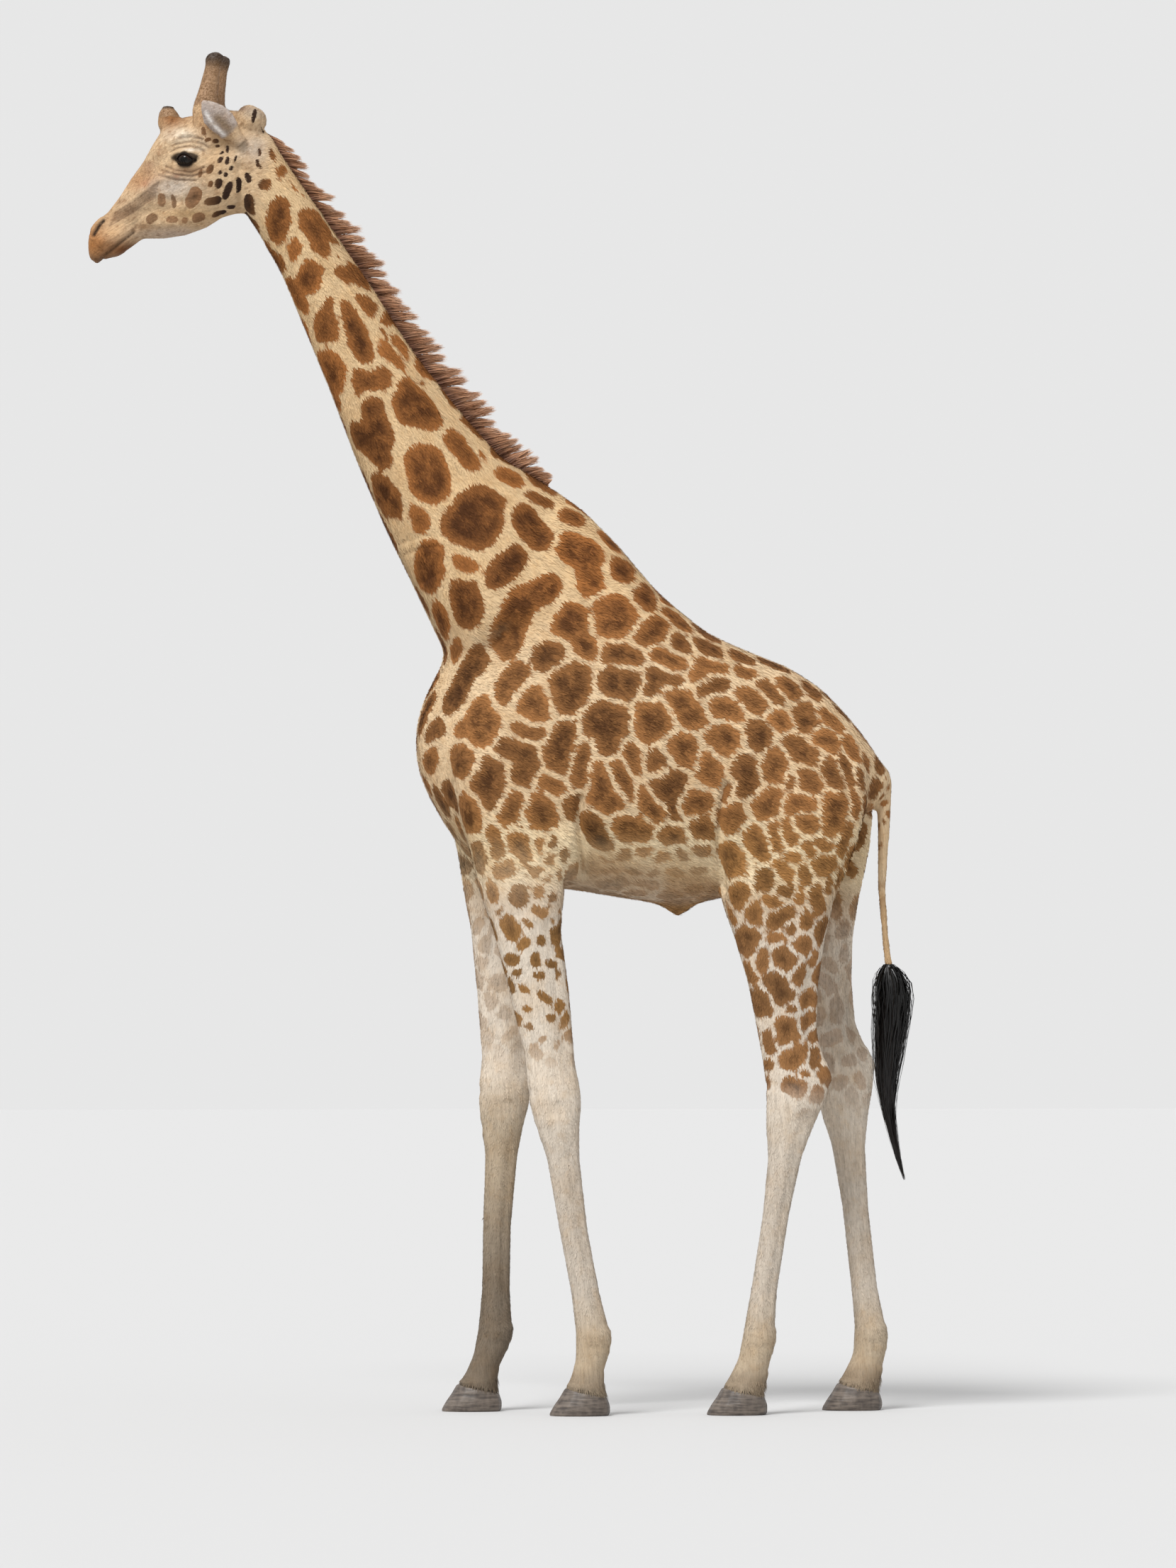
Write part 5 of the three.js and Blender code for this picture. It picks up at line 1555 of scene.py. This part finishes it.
def mane(tree, finish):
    """Hairs that lean back along the neck and draw together into pointed locks."""
    count = MANE_HAIRS
    total = np.linalg.norm(np.diff(MANE_LINE, axis=0), axis=1).sum()
    share = np.sort(rng.uniform(0, 1, count))
    sideways = np.clip(rng.normal(0, MANE_HALF / 2, count), -MANE_HALF, MANE_HALF)
    locks = int(total / MANE_LOCK) + 3
    lock = np.clip(share * total / MANE_LOCK + rng.normal(0, 0.12, count), 0, locks - 2)
    number = lock.astype(int)
    tall, swing = rng.uniform(0.72, 1.3, locks)[number], rng.normal(0, 0.004, locks)[number]
    behind = number + 1.25 - lock
    end = share * total + MANE_LOCK * (0.8 + 0.7 * behind) + rng.normal(0, 0.004, count)
    roots, root_out = mane_line(share)
    ends, end_out = mane_line(np.clip(end / total, 0, 1.03))
    roots[:, 1], ends[:, 1] = sideways, 0.5 * sideways + swing
    start = []
    for place, away in zip(roots, root_out):
        hit = tree.ray_cast(Vector(place + away * 0.2), Vector(-away), 0.4)[0]
        start.append(np.array(hit) if hit else place)
    start = np.array(start) - root_out * MANE_SINK
    height = np.interp(share, *zip(*MANE_LONG)) * tall * rng.uniform(0.7, 1.05, count)
    height = height * (1.12 - 0.22 * behind)
    tip = ends + end_out * height[:, None]
    middle = (start + tip) / 2 + root_out * (0.22 * height)[:, None]
    t = np.linspace(0, 1, 5)[None, :, None]
    spines = start[:, None] * (1 - t) ** 2 + 2 * t * (1 - t) * middle[:, None] + tip[:, None] * t**2
    sides = unit(np.cross(tip - start, rng.normal(0, 1, start.shape)))
    widths = rng.uniform(0.0016, 0.003, count)
    tones = rng.uniform(0.25, 1.0, count)
    mesh = hair_mesh("mane_hair", spines, widths, sides, tones)
    return finish_piece(new_object("mane_hair", mesh, finish), "mane", "mane")


def mane_line(share):
    """Places on the ridge of the neck, and the way out of it."""
    flat, way = along_line(MANE_LINE, share)
    out = np.stack([-way[:, 1], np.zeros(len(share)), way[:, 0]], 1)
    return np.stack([flat[:, 0], np.zeros(len(share)), flat[:, 1]], 1), out


def tail_switch(finish):
    """Black strands that fill an outline, and fewer of them towards its tip."""
    count = SWITCH_HAIRS
    heights, middles, halves = np.array(SWITCH_FORM)[::-1].T
    angle = rng.uniform(0, 2 * np.pi, count)
    reach = rng.uniform(0.25, 1, count) ** 0.6
    stray = rng.uniform(0, 1, count) < SWITCH_STRAYS
    reach = np.where(stray, rng.uniform(1.0, 1.35, count), reach)
    top = heights[-1] - 0.12 * rng.uniform(0, 1, count) ** 2
    stop = rng.uniform(0, 1, count)
    foot = np.where(stop < 0.4, heights[0] + 0.4 * stop, rng.uniform(0.98, 1.3, count))
    share = np.linspace(0, 1, 12)
    fall = top[:, None] + (foot - top)[:, None] * share
    half = np.interp(fall, heights, halves) * reach[:, None]
    ripple = 0.0025 * np.sin(share * 14 + angle[:, None] * 5)
    x = np.interp(fall, heights, middles) + half * np.cos(angle)[:, None] + ripple
    y = SWITCH_DEPTH * half * np.sin(angle)[:, None] - ripple
    spines = np.stack([x, y, fall], 2)
    sides = np.stack([-np.sin(angle), np.cos(angle), np.zeros(count)], 1)
    sides = unit(sides + rng.normal(0, 0.35, sides.shape))
    widths = rng.uniform(0.002, 0.0055, count)
    mesh = hair_mesh("tail_hair", spines, widths, sides, rng.uniform(0.1, 1.0, count))
    return finish_piece(new_object("tail_hair", mesh, finish), "tail_hair", "tail_tuft")


def lashes(side, finish):
    centre = EYE * (1, side, 1)
    back, up, out = eye_turn(side)
    share = np.linspace(-0.92, 0.95, LASHES)
    u = share * OPEN_HALF
    upper, _ = opening(u)
    across = np.hypot(u, upper)
    n = np.sqrt((EYE_RADIUS + LID_THICK) ** 2 - across**2)
    own = centre + np.outer(u, back) + np.outer(upper, up) + np.outer(n - 0.001, out)
    start = from_head_axes(own)
    ahead = from_head_axes(own + out + 0.9 * np.outer(share, back) - 0.35 * up) - start
    fall = from_head_axes(own - 0.35 * up + 0.1 * out) - start
    away = unit(ahead + rng.normal(0, 0.12, ahead.shape))
    length = LASH_LONG * (1 - 0.4 * share**2) * rng.uniform(0.8, 1.1, LASHES)
    spines = curved(start, away, unit(fall) * 0.35, length, 4)
    sides = unit(np.cross(away, up))
    widths = np.full(LASHES, LASH_WIDE)
    name = "lashes_right" if side == RIGHT else "lashes_left"
    mesh = hair_mesh(name, spines, widths, sides, np.full(LASHES, 0.4))
    return finish_piece(new_object(name, mesh, finish), "tail_hair")


# ---------- eyes and hooves ----------

PUPIL_WIDE = 0.62  # the iris's reach, as a share of the ball's radius
CORNEA_SWELL = 0.0012
CLAW_VOXEL, CLAW_ROUNDING = 0.0032, 9
SOLE_CUT = 0.0015  # what is worn off each sole, so that it lies flat


def eyeball(name, side, finish):
    """A ball with the swell of the cornea, and how far each point lies from the pupil."""
    low, high = (np.array(corner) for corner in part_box(name))
    bm = bmesh.new()
    bmesh.ops.create_uvsphere(bm, u_segments=64, v_segments=40, radius=EYE_RADIUS)
    mesh = mesh_from(bm, name + "_ball")
    back, up, out = (from_head_axes(HEAD_ZERO + way)[0] - HEAD_PIVOT for way in eye_turn(side))
    points = points_of(mesh)
    u, w, n = points @ unit(back), points @ unit(up), points @ unit(out)
    away = np.hypot(u * 0.72, w * 1.15) / (PUPIL_WIDE * EYE_RADIUS)
    iris = np.where(n > 0, away, 2.0)
    swell = CORNEA_SWELL * step(1.1, 0.5, iris)
    points = points * (1 + swell / EYE_RADIUS)[:, None]
    put_points(mesh, points + (low + high) / 2)
    put_value(mesh, "iris", iris)
    shade_smooth(mesh)
    return finish_piece(new_object(name + "_ball", mesh, finish), "eye", name)


def hoof(node, finish):
    """A claw with its edges worn round and its sole flat on the floor."""
    bm = bmesh_of(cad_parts[node].data)
    bmesh.ops.remove_doubles(bm, verts=bm.verts, dist=WELD)
    mesh = mesh_from(bm, "claw")
    mesh = with_modifier(mesh, "REMESH", mode="VOXEL", voxel_size=CLAW_VOXEL)
    points = points_of(mesh)
    table, count = neighbour_table(mesh)
    points = relaxed(points, table, count, np.full(len(points), CLAW_ROUNDING))
    points[:, 2] = np.maximum(points[:, 2] - points[:, 2].min() - SOLE_CUT, 0)
    put_points(mesh, points)
    shade_smooth(mesh)
    return finish_piece(new_object("claw_" + node[5:], mesh, finish), "hoof", node)


# ---------- camera, light and floor ----------


def studio():
    scene = bpy.context.scene
    scene.view_settings.view_transform = "Standard"
    camera = new_object("camera", bpy.data.cameras.new("camera"))
    scene.camera = camera
    place = Vector(camera_place())
    aim = Vector(CAMERA_TARGET) - place
    camera.location = place
    camera.rotation_euler = aim.to_track_quat("-Z", "Y").to_euler()
    camera.data.sensor_fit = "VERTICAL"
    camera.data.sensor_height = SENSOR
    camera.data.lens = SENSOR * aim.length / VIEW_HEIGHT
    camera.data.clip_end = 200
    world = bpy.data.worlds.new("studio")
    scene.world = world
    world.use_nodes = True
    background = world.node_tree.nodes["Background"].inputs
    background["Color"].default_value = (1.0, 1.0, 1.0, 1)
    background["Strength"].default_value = SKY_POWER
    data = bpy.data.lights.new("soft_sun", "SUN")
    data.angle, data.energy = np.radians(SUN_SPREAD), SUN_POWER
    lamp = new_object("soft_sun", data)
    lamp.rotation_euler = (-Vector(SUN_FROM)).to_track_quat("-Z", "Y").to_euler()
    corners = FLOOR_HALF * np.array([[-1, -1, 0], [1, -1, 0], [1, 1, 0], [-1, 1, 0]], float)
    mesh = new_mesh("floor", corners, np.array([[0, 1, 2], [0, 2, 3]]))
    new_object("floor", mesh, floor_material())


# ---------- the giraffe ----------


def giraffe():
    coat, horn = coat_material(), horn_material()
    mesh, inside_eye = skin_mesh()
    tree = skin_tree(mesh)
    patches = drawn_patches(tree)
    patches += free_patches(points_of(mesh), normals_of(mesh), patches)
    for name, values in coat_values(mesh, patches, inside_eye).items():
        put_value(mesh, name, values)
    shade_smooth(mesh)
    skin = new_object("skin", mesh, coat)
    unwrap(skin)
    for name, count in TUFT_PIECES.items():
        build_tufts(name, count // (1), mesh, inside_eye, coat)
    split_horns(skin, horn)
    finish_piece(skin, "coat", *FLESH)
    mane_finish = hair_material("giraffe_mane", rgb("6b4733"), rgb("a17556"), rgb("c09a7e"), 0.6)
    black = hair_material("giraffe_tail_hair", rgb("080706"), rgb("0d0a09"), rgb("17110e"), 0.28)
    mane(tree, mane_finish)
    tail_switch(black)
    eye = eye_material()
    claw = hoof_material()
    for name, side in (("eye_left", LEFT), ("eye_right", RIGHT)):
        eyeball(name, side, eye)
        lashes(side, black)
    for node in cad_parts:
        if node.startswith("hoof_"):
            hoof(node, claw)


giraffe()
studio()
